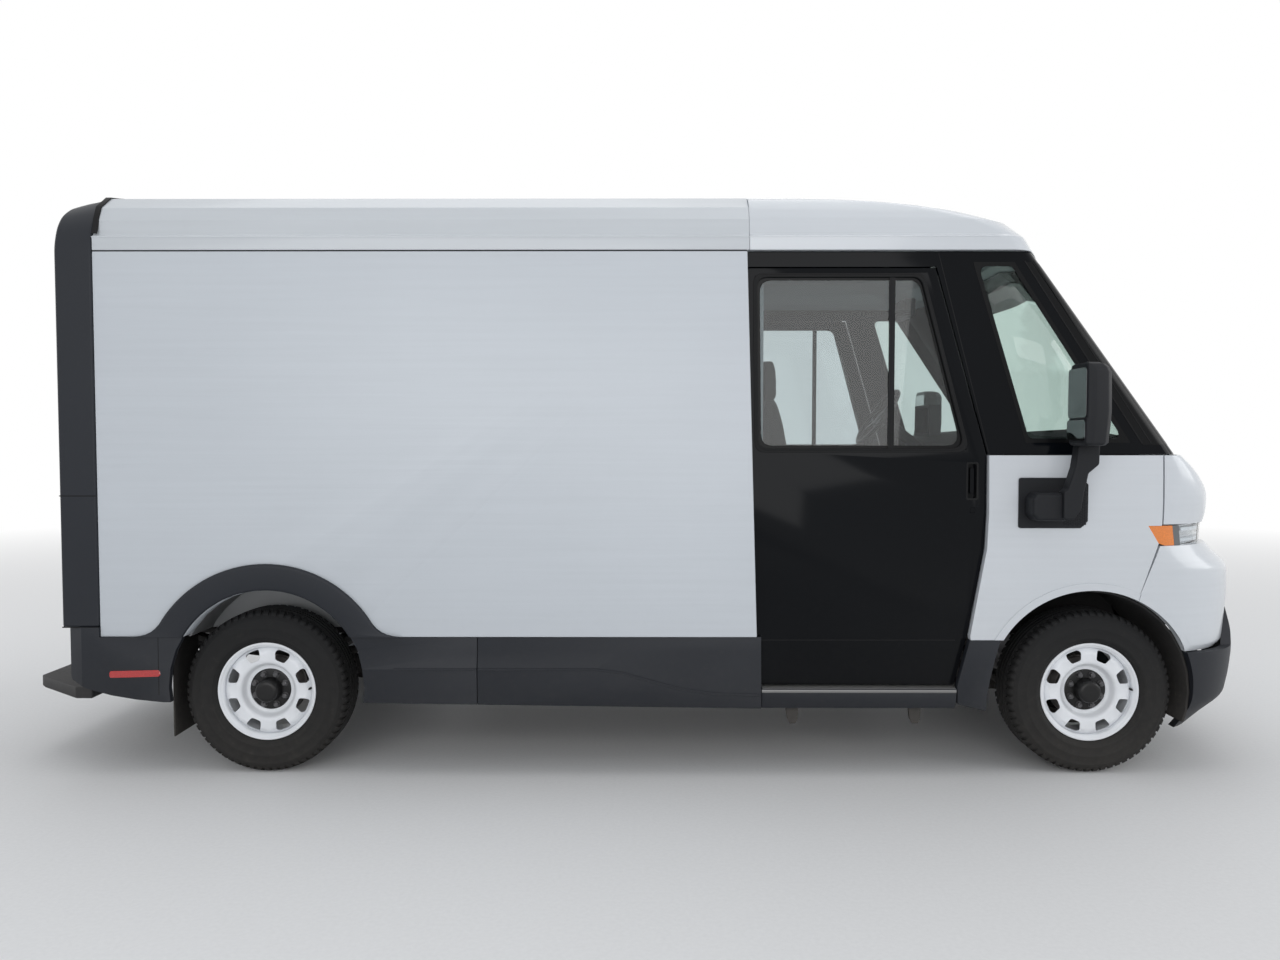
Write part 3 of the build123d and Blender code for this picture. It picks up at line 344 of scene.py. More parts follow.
def lathe(outline, sides, closed=True):
    """Turns a (radius, y) outline about the Y axis."""
    shape = bmesh.new()
    rings = []
    for radius, y in outline:
        turns = [2 * math.pi * k / sides for k in range(sides if radius > 1e-6 else 1)]
        rings.append([shape.verts.new((radius * math.cos(t), y, radius * math.sin(t))) for t in turns])
    for before, after in list(zip(rings, rings[1:])) + ([(rings[-1], rings[0])] if closed else []):
        for k in range(sides):
            corners = [before[k - 1], before[k]] if len(before) > 1 else [before[0]]
            corners += [after[k], after[k - 1]] if len(after) > 1 else [after[0]]
            if len(corners) > 2:
                shape.faces.new(corners)
    bmesh.ops.recalc_face_normals(shape, faces=shape.faces)
    return shape


def prism(outline, y0, y1, taper=0.0):
    """A closed block from an (x, z) outline between two depths; taper draws the y1 end in."""
    cx, cz = (sum(values) / len(outline) for values in zip(*outline))
    near = [(x, y0, z) for x, z in outline]
    far = [(x + (cx - x) * taper, y1, z + (cz - z) * taper) for x, z in outline]
    return lofted([near, far])


def along(count, pitch=(0, 0, 0), turn=(0, 0, 0)):
    """The inputs of one row of repeats: how many, how far apart and how far each is turned."""
    return {"Count": count, "Pitch": pitch, "Turn": turn}


row_tree = bpy.data.node_groups.new("row_of_parts", "GeometryNodeTree")
for label, kind in (("Geometry", "Geometry"), ("Count", "Int"), ("Pitch", "Vector"), ("Turn", "Vector"),
                    ("Material", "Material")):
    row_tree.interface.new_socket(label, in_out="INPUT", socket_type="NodeSocket" + kind)
row_tree.interface.new_socket("Geometry", in_out="OUTPUT", socket_type="NodeSocketGeometry")
given = wire(row_tree, "NodeGroupInput").outputs
index = wire(row_tree, "GeometryNodeInputIndex").outputs[0]
step, spun = scaled(row_tree, given["Pitch"], index), scaled(row_tree, given["Turn"], index)
spun = wire(row_tree, "FunctionNodeEulerToRotation", {0: spun}).outputs[0]
spots = wire(row_tree, "GeometryNodePoints", {"Count": given["Count"], "Position": step}).outputs[0]
copies = wire(row_tree, "GeometryNodeInstanceOnPoints",
              {"Points": spots, "Instance": given["Geometry"], "Rotation": spun}).outputs[0]
real = wire(row_tree, "GeometryNodeRealizeInstances", {0: copies}).outputs[0]
coated = wire(row_tree, "GeometryNodeSetMaterial", {"Geometry": real, "Material": given["Material"]})
wire(row_tree, "NodeGroupOutput", {0: coated.outputs[0]})


def row(shape, finish, *rows):
    """The mesh repeated by the row tree, once for each set of inputs."""
    holder = linked("row", shape)
    for values in rows:
        repeat = holder.modifiers.new("row", "NODES")
        repeat.node_group = row_tree
        for socket in row_tree.interface.items_tree:
            if socket.in_out == "INPUT" and socket.name != "Geometry":
                repeat[socket.identifier] = {**values, "Material": finish}[socket.name]
    shape = bmesh.new()
    shape.from_mesh(settled(holder).data)
    bpy.data.objects.remove(holder)
    return shape


def moved(shape, matrix):
    """The mesh put in its place."""
    bmesh.ops.transform(shape, matrix=matrix, verts=shape.verts)
    return shape


def hexagon(radius, turned=0):
    """Six corners at a distance from the middle, as (x, z)."""
    turns = [math.radians(60 * k + turned) for k in range(6)]
    return [(radius * math.cos(turn), radius * math.sin(turn)) for turn in turns]


tyre_rubber = surface("tyre_rubber", (0.01, 0.0105, 0.0115), 0.72, dust=0.1, reach=0.95, vary=0.25, grain=700,
                      relief=0.12, shine=0.2)
wheel_white = surface("wheel_white", (0.8, 0.82, 0.85), 0.34, dust=0.08, reach=0.8, grain=500, relief=0.04)
hub_black = surface("hub_black", (0.0065, 0.0068, 0.0075), 0.3, dust=0.06, reach=0.8, grain=400, relief=0.06,
                    shine=0.3)
nut_steel = surface("nut_steel", (0.12, 0.12, 0.125), 0.28, dust=0.15, reach=0.8, relief=0.05, metal=1.0)
disc_iron = surface("disc_iron", (0.16, 0.15, 0.145), 0.38, dust=0.2, reach=0.8, relief=0.2, metal=1.0)

# The tyre: (radius, y) from the bead over the flank to the middle of the tread.
flank = [(0.2172, 0.085), (0.2338, 0.0902), (0.2382, 0.0985), (0.2445, 0.1055), (0.252, 0.11), (0.2535, 0.112),
         (0.262, 0.1146), (0.264, 0.1138), (0.285, 0.1168), (0.3, 0.117), (0.3012, 0.1174), (0.306, 0.1172),
         (0.3072, 0.1166), (0.324, 0.1148), (0.34, 0.1112), (0.3415, 0.1116), (0.347, 0.1102), (0.348, 0.1094),
         (0.356, 0.1054), (0.364, 0.1002), (0.37, 0.0935), (0.376, 0.083), (0.3782, 0.072), (0.379, 0.0585)]
crown = [(0.3852, 0.057), (0.3854, 0.05), (0.3782, 0.0485), (0.3782, 0.0425), (0.3856, 0.041), (0.3858, 0.019),
         (0.3784, 0.0175), (0.3784, 0.0115), (0.3858, 0.01)]
section = flank + crown
carcass = lathe([(r, -y) for r, y in section] + section[::-1], 112)
lug_line = [(0.378, 0.059), (0.3852, 0.059), (0.3846, 0.073), (0.3826, 0.084), (0.3768, 0.0945),
            (0.37, 0.1003), (0.362, 0.1032), (0.36, 0.1), (0.369, 0.093), (0.375, 0.083)]
rings = []
for turn in (-0.03, 0.03):
    spots = [(r, y, turn + (0.012 if y < 0.08 else -0.008)) for r, y in lug_line]
    rings.append([(r * math.cos(t), -y, r * math.sin(t)) for r, y, t in spots])
lug = lofted(rings)
inner_lug = moved(lug.copy(), Matrix.Rotation(math.pi, 4, "Z") @ Matrix.Rotation(math.radians(2.8), 4, "Y"))
lug_turn = (0, math.radians(360 / 64), 0)
lugs = row(lug, tyre_rubber, along(64, turn=lug_turn))
inner_lugs = row(inner_lug, tyre_rubber, along(64, turn=lug_turn))

# The wheel: a pressed disc with eight hand holes, welded into a rolled barrel.
web_inner, web_outer, hole_radius = 0.145, 0.2055, 0.178
sector = math.radians(22.5)
border = [(web_inner, sector * (k / 6 - 1)) for k in range(12)]
border += [(web_inner + (web_outer - web_inner) * k / 6, sector) for k in range(6)]
border += [(web_outer, sector * (1 - k / 6)) for k in range(12)]
border += [(web_outer - (web_outer - web_inner) * k / 6, -sector) for k in range(6)]


def dish_depth(radius):
    """How far out the pressed disc stands at a radius."""
    radius = min(max(radius, web_inner), web_outer)
    if radius < 0.184:
        return -0.0822 - 0.0018 * (radius - web_inner) / 0.039
    share = (radius - 0.184) / 0.0215
    return -0.084 + 0.0185 * share * share * (1.6 - 0.6 * share)


def reach_of(line, middle, way):
    """How far a closed line lies from the middle, in one direction."""
    hits = []
    for k in range(len(line)):
        a, b = line[k - 1] - middle, line[k] - middle
        cross_a, cross_b = way.x * a.y - way.y * a.x, way.x * b.y - way.y * b.x
        if cross_a * cross_b <= 0 and cross_a != cross_b:
            hits.append((a + (b - a) * (cross_a / (cross_a - cross_b))).dot(way))
    return max(hits)


def hand_hole(grow):
    """The rounded outline of a hand hole as (radius, angle), one point for each point of the border."""
    corners = [(0.15, -0.0225, 0.009), (0.187, -0.0365, 0.01), (0.1995, -0.0285, 0.008),
               (0.1995, 0.0285, 0.008), (0.187, 0.0365, 0.01), (0.15, 0.0225, 0.009)]
    line = []
    for k, (r, w, bend) in enumerate(corners):
        here = Vector((r, w))
        one = (Vector(corners[k - 1][:2]) - here).normalized() * bend
        two = (Vector(corners[(k + 1) % 6][:2]) - here).normalized() * bend
        line += [here + one * (1 - t) ** 2 + two * t ** 2 for t in (0, 0.25, 0.5, 0.75, 1)]
    middle = Vector((hole_radius, 0))
    found = []
    for r, t in border:
        angle = math.atan2(r * math.sin(t), r * math.cos(t) - hole_radius)
        way = Vector((math.cos(angle), math.sin(angle)))
        spot = middle + way * (reach_of(line, middle, way) + grow)
        found.append((math.hypot(*spot), math.atan2(spot.y, spot.x)))
    return found


hole_lip = ((0.0, -0.0015), (0.001, 0.0008), (0.003, 0.001), (0.0048, 0.0))
loops = [(hand_hole(grow), lift) for grow, lift in hole_lip]
loops.append((border, 0.0))
sheets = []
for k in range(8):
    middle = sector * (2 * k + 1)
    rings = [[(r * math.cos(middle + t), dish_depth(r) - lift, r * math.sin(middle + t)) for r, t in loop]
             for loop, lift in loops]
    sheets.append(lofted(rings, ends=False))
dish = [(0.0982, -0.0462), (0.11, -0.047), (0.115, -0.05), (0.119, -0.056), (0.124, -0.067),
        (0.129, -0.076), (0.136, -0.0806), (0.145, -0.0822)]
dish_edge = [(0.2055, -0.0655), (0.208, -0.0625), (0.2086, -0.056), (0.2086, -0.044)]
wheel = joined([*sheets, lathe(dish, 96, closed=False), lathe(dish_edge, 96, closed=False)])
bmesh.ops.remove_doubles(wheel, verts=wheel.verts, dist=1e-5)
bmesh.ops.recalc_face_normals(wheel, faces=wheel.faces)
if max(wheel.faces, key=lambda face: -face.calc_center_median().y).normal.y > 0:
    bmesh.ops.reverse_faces(wheel, faces=wheel.faces)
bmesh.ops.solidify(wheel, geom=wheel.faces, thickness=0.005)
barrel = [(0.2087, -0.079), (0.2105, -0.084), (0.215, -0.088), (0.219, -0.0905), (0.2215, -0.095),
          (0.2245, -0.0975), (0.2285, -0.098), (0.2318, -0.0966), (0.233, -0.094), (0.2322, -0.0914),
          (0.229, -0.0905), (0.223, -0.088), (0.2165, -0.0858)]
joined([wheel, lathe(barrel + [(r, -y) for r, y in barrel[::-1]], 96)])
bmesh.ops.recalc_face_normals(wheel, faces=wheel.faces)
stem = lathe([(0, -0.105), (0.003, -0.105), (0.0036, -0.104), (0.0036, -0.096), (0.0052, -0.095),
              (0.0052, -0.076), (0, -0.076)], 12, closed=False)
moved(stem, Matrix.Translation((0.201 * math.cos(0.05), 0.006, 0.201 * math.sin(0.05))))

# The hub with its cap, the brake disc behind it and the eight nuts.
boss = [(0, -0.1118), (0.03, -0.1116), (0.04, -0.1108), (0.046, -0.1085), (0.05, -0.104), (0.052, -0.098),
        (0.053, -0.07), (0.0545, -0.056), (0.058, -0.05), (0.09, -0.0488), (0.0945, -0.0478),
        (0.0962, -0.0462), (0.0962, -0.0358), (0.113, -0.0356), (0.114, -0.034), (0.114, -0.021),
        (0.118, -0.018), (0.118, 0.006), (0.05, 0.0362), (0.0498, 0.067), (0.035, 0.067),
        (0.035, -0.005), (0, -0.005)]
rotor = [(0.12, 0.007), (0.1465, 0.007), (0.1478, 0.0085), (0.1478, 0.0165), (0.145, 0.0172), (0.145, 0.0275),
         (0.1478, 0.0282), (0.1478, 0.035), (0.1465, 0.0362), (0.09, 0.0362), (0.09, 0.015), (0.118, 0.006)]
centre = lathe(boss, 72, closed=False)
brake = lathe(rotor, 72)
six = hexagon(0.0126, 30)
washer = [(0, -0.051), (0.015, -0.051), (0.0155, -0.0495), (0.0155, -0.047), (0, -0.047)]
tip = [(0, -0.0705), (0.005, -0.0705), (0.0062, -0.069), (0.0062, -0.066), (0, -0.066)]
nut = joined([prism(six, -0.048, -0.0655), prism(six, -0.0655, -0.068, taper=0.2),
              lathe(washer, 20, closed=False), lathe(tip, 14, closed=False)])
moved(nut, Matrix.Rotation(-sector, 4, "Y") @ Matrix.Translation((0.077, 0, 0)))
nuts = row(nut, nut_steel, along(8, turn=(0, math.radians(45), 0)))

front_axle, rear_axle, half_track, hub_height, half_width = 2.117, -1.772, 0.873, 0.386, 1.03
for corner, x, side in (("fl", front_axle, 1), ("fr", front_axle, -1),
                        ("rl", rear_axle, 1), ("rr", rear_axle, -1)):
    put = Matrix.Translation((x, side * half_track, hub_height))
    if side > 0:
        put = put @ Matrix.Rotation(math.pi, 4, "Z")
    for part, shape, finish, slot, smooth, node in (
        ("tyre_carcass", carcass, tyre_rubber, "tyre", 35, "tyre"),
        ("tyre_lugs", lugs, tyre_rubber, "tyre", 20, None),
        ("tyre_inner_lugs", inner_lugs, tyre_rubber, "tyre", 20, None),
        ("pressed_wheel", wheel, wheel_white, "rim_white", 35, "rim"),
        ("valve", stem, tyre_rubber, "tyre", 35, None),
        ("hub_cap", centre, hub_black, "hub_black", 35, "hub"),
        ("brake_disc", brake, disc_iron, "hub_black", 35, None),
        ("wheel_nuts", nuts, nut_steel, "hub_black", 25, None),
    ):
        piece = shown(f"{part}_{corner}", moved(shape.copy(), put), finish, "wheel_" + corner, smooth)
        if node:
            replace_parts(piece, f"{node}_{corner}")


# Floor, step wells, wheel houses and inner walls.
# Ribbed sheet-metal decks bolted to the outriggers, with plastic liners over the front wheels
# and painted walls at both ends of the cab.

floor_metal = surface("floor_metal", (0.3, 0.31, 0.32), 0.42, reach=1.2, grain=900, relief=0.2, metal=0.5)
well_metal = surface("well_metal", (0.1, 0.105, 0.11), 0.5, dust=0.5, reach=1.2, grain=500, relief=0.3)
liner_plastic = surface("liner_plastic", (0.014, 0.0145, 0.016), 0.7, dust=0.22, reach=1.2, grain=150,
                        relief=0.5, shine=0.2)
wall_paint = surface("wall_paint", (0.42, 0.44, 0.46), 0.45, dust=0.15, reach=1.2, grain=600, relief=0.08)
eased("floor", floor_metal, 0.002)
eased("step_wells", well_metal, 0.002)
eased("front_wheelhouses", liner_plastic)
eased("firewall", wall_paint, 0.002)
eased("bulkhead", wall_paint)
eased("bulkhead_door", wall_paint, 0.004)

rib = prism([(-0.004, 0.0), (0.004, 0.0), (0.0025, 0.0022), (-0.0025, 0.0022)], -0.33, 0.33)
moved(rib, Matrix.Translation((0.64, 0, 0.7541)))
ribs = row(rib, floor_metal, along(46, pitch=(0.0215, 0, 0)))
shown("cab_floor_ribs", ribs, floor_metal, smooth=10)
track = prism([(-2.5, 0.7601), (0.53, 0.7601), (0.53, 0.7625), (-2.5, 0.7625)], -0.6435, -0.6365)
tracks = row(track, floor_metal, along(17, pitch=(0, 0.08, 0)))
shown("load_floor_ribs", tracks, floor_metal, smooth=10)


# Side panels and roof of the load space.
# White foam-cored panels and a pressed aluminium roof, glued to black rails along their edges;
# the panels' faces show the fine level lines of their skin.

def lined_white(name, shade, rough, lines, coat):
    """White paint over a skin with faint level lines and soft waves in it."""
    finish, tree = new_finish(name)
    film = wire(tree, "ShaderNodeGroup", {"Colour": (*shade, 1), "Vary": 0.03, "Dust": 0.1, "Reach": 1.3},
                node_tree=road_film).outputs
    place = object_space(tree)
    flat = wire(tree, "ShaderNodeMapping", {"Vector": place, "Scale": (0.35, 0.35, 14.0)}).outputs[0]
    line = noise(tree, flat, 3.0, 6.0)
    wave = maths(tree, "MULTIPLY", noise(tree, place, 1.3), 0.8)
    peel = maths(tree, "MULTIPLY", noise(tree, place, 420.0), 0.02)
    high = maths(tree, "ADD", maths(tree, "ADD", maths(tree, "MULTIPLY", line, lines), wave), peel)
    bump = wire(tree, "ShaderNodeBump", {"Strength": 0.5, "Distance": 0.0016, "Height": high})
    return painted(finish, {
        "Base Color": scaled(tree, film["Colour"], ranged(tree, line, 0.35, 0.65, 0.975, 1.0)),
        "Roughness": ranged(tree, film["Mask"], 0.0, 1.0, rough, 0.8), "Normal": bump.outputs[0],
        "Coat Weight": coat, "Coat Roughness": 0.08})


# The panels' white is a darker, bluer grey than the body's white: painted shade, standing for the shade that
# lies over the side walls.
panel_white_painted_shade = lined_white("panel_white_painted_shade", (0.55, 0.585, 0.625), 0.38, 1.0, 0.0)
roof_white = lined_white("roof_white", (0.55, 0.58, 0.61), 0.32, 0.15, 0.15)
black_rubber = surface("black_rubber", (0.0055, 0.0058, 0.0065), 0.6, dust=0.05, grain=800, relief=0.1,
                       shine=0.2)
eased("side_panels", panel_white_painted_shade, 0.004)
eased("cargo_roof", roof_white, 0.005, sharp=12)


def strip(y, line, wide, thick):
    """A flat strip of trim along (x, z) points, standing out of the right-hand wall at a depth y."""
    points = [Vector((x, y, z)) for x, z in line]
    out = Vector((0, -1, 0))
    rings = []
    for k, here in enumerate(points):
        ahead = (points[min(k + 1, len(points) - 1)] - points[max(k - 1, 0)]).normalized()
        across = ahead.cross(out).normalized() * wide / 2
        top = here + out * thick
        rings.append([here - across, top - across * 0.75, top + across * 0.75, here + across])
    return lofted(rings)


def mirrored(shape):
    """The mesh moved to the other side of the van."""
    bmesh.ops.scale(shape, vec=(1, -1, 1), verts=shape.verts)
    bmesh.ops.reverse_faces(shape, faces=shape.faces)
    return shape


def both_sides(shape):
    """The mesh and its mirror image on the other side of the van."""
    return joined([shape, mirrored(shape.copy())])


seam = strip(-1.03, [(-2.52, 2.442), (0.485, 2.442)], 0.005, 0.0008)
shown("panel_top_seam", both_sides(seam), black_rubber)
bead = strip(-1.0302, [(-2.52, 2.5055), (0.495, 2.5055)], 0.006, 0.0016)
shown("rail_bead", both_sides(bead), roof_white)


# Rear hoop, bumper, step and roll-up door.
# A thick charcoal plastic hoop rounds off the tail and frames a slatted aluminium door;
# the textured bumper wraps both corners and carries the step across the back.

charcoal = surface("charcoal", (0.0105, 0.013, 0.0185), 0.5, dust=0.07, reach=0.95, vary=0.1, grain=520,
                   shine=0.3, relief=0.3)
slat_metal = surface("slat_metal", (0.5, 0.52, 0.54), 0.36, dust=0.2, reach=1.6, relief=0.05, metal=0.6)
tread_black = surface("tread_black", (0.014, 0.015, 0.018), 0.62, dust=0.16, grain=240, relief=0.6, shine=0.3)
eased("rear_bumper", charcoal, 0.006, sharp=14)
eased("roll_up_door", slat_metal, 0.002, sharp=12)
eased("rear_step", tread_black, 0.006)

pip = lathe([(0, 0.0015), (0.0045, 0.0015), (0.007, 0.0), (0, 0.0)], 6, closed=False)
moved(pip, Matrix.Translation((-3.006, -0.62, 0.3881)) @ Matrix.Rotation(math.pi / 2, 4, "X"))
pips = row(pip, tread_black, along(32, pitch=(0, 0.04, 0)), along(8, pitch=(0.036, 0, 0)))
shown("rear_step_studs", pips, tread_black)


def crisp(piece):
    """The piece with hard edges left sharp, so that its flat faces are seen flat."""
    shape = bmesh.new()
    shape.from_mesh(piece.data)
    for edge in shape.edges:
        edge.smooth = len(edge.link_faces) == 2 and edge.calc_face_angle(0) < math.radians(25)
    shape.to_mesh(piece.data)
    shape.free()
    return piece


def carved(name, shape, finish, keep=(), cut=(), body="body", width=0.003, sharp=30):
    """A form cut to its outlines, with its edges rounded."""
    piece = shown(name, shape, finish, body, smooth=180)
    tools = []
    for kind, forms in (("INTERSECT", keep), ("DIFFERENCE", cut)):
        for form in forms:
            tools.append(linked("tool", form))
            chop = piece.modifiers.new("cut", "BOOLEAN")
            chop.operation, chop.object, chop.solver = kind, tools[-1], "EXACT"
    if width:
        eased_edges(piece, width, sharp)
    settled(piece)
    for tool in tools:
        bpy.data.objects.remove(tool)
    return piece if width else crisp(piece)


def oblong(a0, a1, b0, b1):
    """The four corners of an upright rectangle."""
    return [(a0, b0), (a1, b0), (a1, b1), (a0, b1)]


def side_view(outline, y0=-1.4, y1=1.4):
    """A cutter from a side-view outline, in metres from the front axle."""
    return prism([(front_axle + x, z) for x, z in outline], y0, y1)


def block(x0, x1, y0, y1, z0, z1):
    """A cutter or bracket between two corners, x in metres from the front axle."""
    return side_view(oblong(x0, x1, z0, z1), y0, y1)


def rounded(outline, bend, parts=6, most=0.49, from_corner=False):
    """A closed outline with its corners rounded; bend is a radius, or how far from each corner it starts."""
    line = []
    for k, corner in enumerate(outline):
        here = Vector(corner)
        before, after = Vector(outline[k - 1]) - here, Vector(outline[(k + 1) % len(outline)]) - here
        reach = bend if from_corner else bend / math.tan(before.angle(after) / 2)
        reach = min(reach, before.length * most, after.length * most)
        one, two = here + before.normalized() * reach, here + after.normalized() * reach
        for step in range(parts + 1):
            t = step / parts
            line.append(tuple(one * (1 - t) ** 2 + here * 2 * t * (1 - t) + two * t ** 2))
    return line


hoop_ends = (
    (-2.6935, [(-6, 600), (-6, 2466), (18, 2550), (56, 2609), (114, 2653), (239, 2706), (385, 2762),
               (620, 2792), (1030, 2802)]),
    (-2.5205, [(-6, 600), (-6, 2484), (18, 2574), (70, 2652), (150, 2712), (270, 2752), (470, 2784),
               (750, 2800), (1030, 2804)]),
)
rings = []
for x, edge_line in hoop_ends:
    half = [((half_width * 1000 - inside) / 1000, z / 1000) for inside, z in edge_line]
    line = rounded(half + [(-y, z) for y, z in half[-2::-1]], 0.06, 5, most=0.45, from_corner=True)
    rings.append([(x, y, z) for y, z in line])
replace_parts(carved("rear_hoop_finished", lofted(rings), charcoal,
                   keep=[side_view(oblong(-5, -4.5, 0.703, 3.0))],
                   cut=[block(-5, -4, -0.84, 0.84, 0.6, 2.33), block(-4.7205, -4, -0.93, 0.93, 0.6, 2.4)],
                   width=0.012, sharp=32), "rear_hoop")

roof_line = [(1.0302, 2.52), (1.0165, 2.552), (1.0105, 2.592), (0.985, 2.65), (0.901, 2.7125), (0.652, 2.7605),
             (0.332, 2.788), (0, 2.7975)]
roof_line += [(-y, z) for y, z in roof_line[-2::-1]]
gasket = bmesh.new()
loops = []
for x, grow in ((-2.52, 0.0), (-2.519, 0.003), (-2.496, 0.003), (-2.493, 0.0)):
    loops.append([])
    for y, z in roof_line:
        out = math.copysign(grow, y) if abs(y) > 0.9 else 0
        up = grow if abs(y) < 1 else 0
        loops[-1].append(gasket.verts.new((x, y + out, z + up)))
for before, after in zip(loops, loops[1:]):
    for n in range(1, len(before)):
        gasket.faces.new((before[n - 1], before[n], after[n], after[n - 1]))
bmesh.ops.recalc_face_normals(gasket, faces=gasket.faces)
bmesh.ops.solidify(gasket, geom=gasket.faces, thickness=0.002)
shown("tail_gasket", gasket, black_rubber)

rim_seal = joined([prism(oblong(-2.603, -2.59, 0.764, 2.329), -0.8398, -0.83),
                   prism(oblong(-2.603, -2.59, 0.764, 2.329), 0.8398, 0.83),
                   prism(oblong(-2.603, -2.59, 2.318, 2.3298), -0.83, 0.83)])
shown("door_seals_rear", rim_seal, black_rubber)

base = [(-2.611, 0.905), (-2.604, 0.9), (-2.6, 0.9), (-2.6, 0.985), (-2.604, 0.985), (-2.611, 0.98)]
grip = [(-2.633, 0.925), (-2.625, 0.922), (-2.625, 0.948), (-2.633, 0.945)]
handle = joined([prism(base, -0.075, 0.075), prism(oblong(-2.625, -2.611, 0.925, 0.945), -0.055, -0.042),
                 prism(oblong(-2.625, -2.611, 0.925, 0.945), 0.042, 0.055), prism(grip, -0.062, 0.062)])
shown("roll_up_handle", handle, nut_steel, smooth=25)


# Lamps of the tail.
# Upright red lamps with a clear reversing part, and a red marker let into each bumper corner.

def lens(name, shade):
    """Moulded lens plastic with its fine prisms showing through."""
    finish, tree = new_finish(name)
    place = object_space(tree)
    cells = wire(tree, "ShaderNodeTexVoronoi", {"Vector": place, "Scale": 260.0}, distance="CHEBYCHEV")
    high = cells.outputs["Distance"]
    cloud = maths(tree, "ADD", maths(tree, "MULTIPLY", noise(tree, place, 9.0), 0.2), 0.9)
    level = maths(tree, "MULTIPLY", ranged(tree, high, 0.0, 0.6, 0.75, 1.1), cloud)
    bump = wire(tree, "ShaderNodeBump", {"Strength": 0.35, "Distance": 0.0006, "Height": high})
    return painted(finish, {
        "Base Color": scaled(tree, shade, level), "Roughness": 0.12, "Normal": bump.outputs[0],
        "Coat Weight": 1.0, "Coat Roughness": 0.05})


red_lens = lens("red_lens", (0.42, 0.012, 0.012))
amber_lens = lens("amber_lens", (0.75, 0.2, 0.012))
clear_lens = lens("clear_lens", (0.62, 0.64, 0.65))
eased("tail_lamps", red_lens, 0.003)
pane = prism(oblong(-2.7027, -2.7012, 1.3, 1.385), -0.992, -0.912)
shown("reversing_panes", both_sides(pane), clear_lens)
marker_line = [(-2.472, 0.468), (-2.246, 0.474), (-2.238, 0.482), (-2.24, 0.498), (-2.248, 0.505), (-2.47, 0.5),
               (-2.477, 0.492), (-2.477, 0.476)]
marker = prism(marker_line, -1.0398, -1.0425, taper=0.02)
shown("side_markers", both_sides(marker), red_lens)
plate = prism(oblong(-2.7035, -2.7015, 0.575, 0.665), -0.155, 0.155)
shown("blank_plate_place", plate, tread_black)
seam = strip(-1.04, [(-2.2465, 0.657), (-2.2465, 0.386)], 0.0035, 0.0005)
shown("bumper_seams", both_sides(seam), black_rubber)
seams = []
for z in (0.7035, 1.316):
    seams.append(strip(-1.0365, [(-2.6925, z), (-2.5215, z)], 0.0045, 0.0006))
    seams.append(prism(oblong(-2.6935, -2.6941, z - 0.0022, z + 0.0022), -1.035, -0.842))
shown("hoop_seams", both_sides(joined(seams)), black_rubber)


# Skirts, arch mouldings and mud flaps.
# Textured charcoal plastic, clipped along the foot of the panels; the mouldings run out
# into the skirts, and rubber flaps hang behind the rear wheels.

arch_x, arch_z, arch_outer, arch_inner = -1.745, 0.422, 0.578, 0.4552
foot = [(0.63, 0.6583), (0.592, 0.6625), (0.562, 0.67), (0.536, 0.682), (0.514, 0.699)]
turns = [math.radians(31.0 + 118.0 * k / 40) for k in range(41)]
flare = [(arch_outer * math.cos(turn), arch_z + arch_outer * math.sin(turn)) for turn in turns]
outer = [(arch_x + x, z) for x, z in foot + flare] + [(arch_x - x, z) for x, z in foot[::-1]]
rings = []
for k, spot in enumerate(outer):
    turn = math.radians(31.4 + 117.2 * k / 50)
    near = Vector((arch_x, arch_z)) + Vector((math.cos(turn), math.sin(turn))) * arch_inner
    far = Vector(spot)
    inward = (near - far).normalized()
    section = [(far, -1.0303), (far, -1.0395), (far + inward * 0.007, -1.0448),
               (far + inward * 0.016, -1.046), (near - inward * 0.012, -1.046),
               (near - inward * 0.004, -1.0445), (near, -1.0405), (near, -1.0303)]
    rings.append([(at.x, y, max(at.y, 0.6582)) for at, y in section])
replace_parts(shown("arch_mouldings_finished", both_sides(lofted(rings)), charcoal, smooth=40),
            "arch_mouldings")

eased("side_skirts", charcoal, 0.006, sharp=12)
crease = [(-0.76, 0.509), (-0.22, 0.509), (-0.09, 0.494), (0.06, 0.452), (0.19, 0.418), (0.345, 0.396),
          (0.558, 0.389)]
for name, line in (("skirt_crease", crease), ("skirt_crease_rear", [(-1.15, 0.509), (-0.766, 0.509)])):
    crest = both_sides(strip(-1.0398, line, 0.012, 0.003))
    shown(name, crest, charcoal, smooth=12)
flap_rubber = surface("flap_rubber", (0.01, 0.01, 0.011), 0.7, dust=0.2, relief=0.4, shine=0.2)
eased("mud_flaps", flap_rubber, 0.002)


# Cab roof.
# One white moulded dome over the cab, domed to the front and level with the load roof behind.

def fine(rows, parts=5):
    """A stack of plan sections with smooth ones set between them."""
    marks = [0.0]
    for a, b in zip(rows, rows[1:]):
        marks.append(marks[-1] + math.hypot(b[0] - a[0], b[1] - a[1], b[2] - a[2]))
    chords = [[(q - p) / (t - s) for p, q in zip(a, b)] for a, b, s, t in zip(rows, rows[1:], marks, marks[1:])]
    slopes = [chords[0]]
    for k in range(1, len(rows) - 1):
        before, after = marks[k] - marks[k - 1], marks[k + 1] - marks[k]
        slopes.append([(p * after + q * before) / (before + after) for p, q in zip(chords[k - 1], chords[k])])
    slopes.append(chords[-1])
    stack = [rows[0]]
    for k in range(len(rows) - 1):
        span = marks[k + 1] - marks[k]
        for n in range(1, parts + 1):
            t = n / parts
            a, b = 2 * t ** 3 - 3 * t ** 2 + 1, t ** 3 - 2 * t ** 2 + t
            stack.append([a * p + b * span * m + (1 - a) * q + (t ** 3 - t ** 2) * span * w for p, q, m, w in
                          zip(rows[k], rows[k + 1], slopes[k], slopes[k + 1])])
    return stack


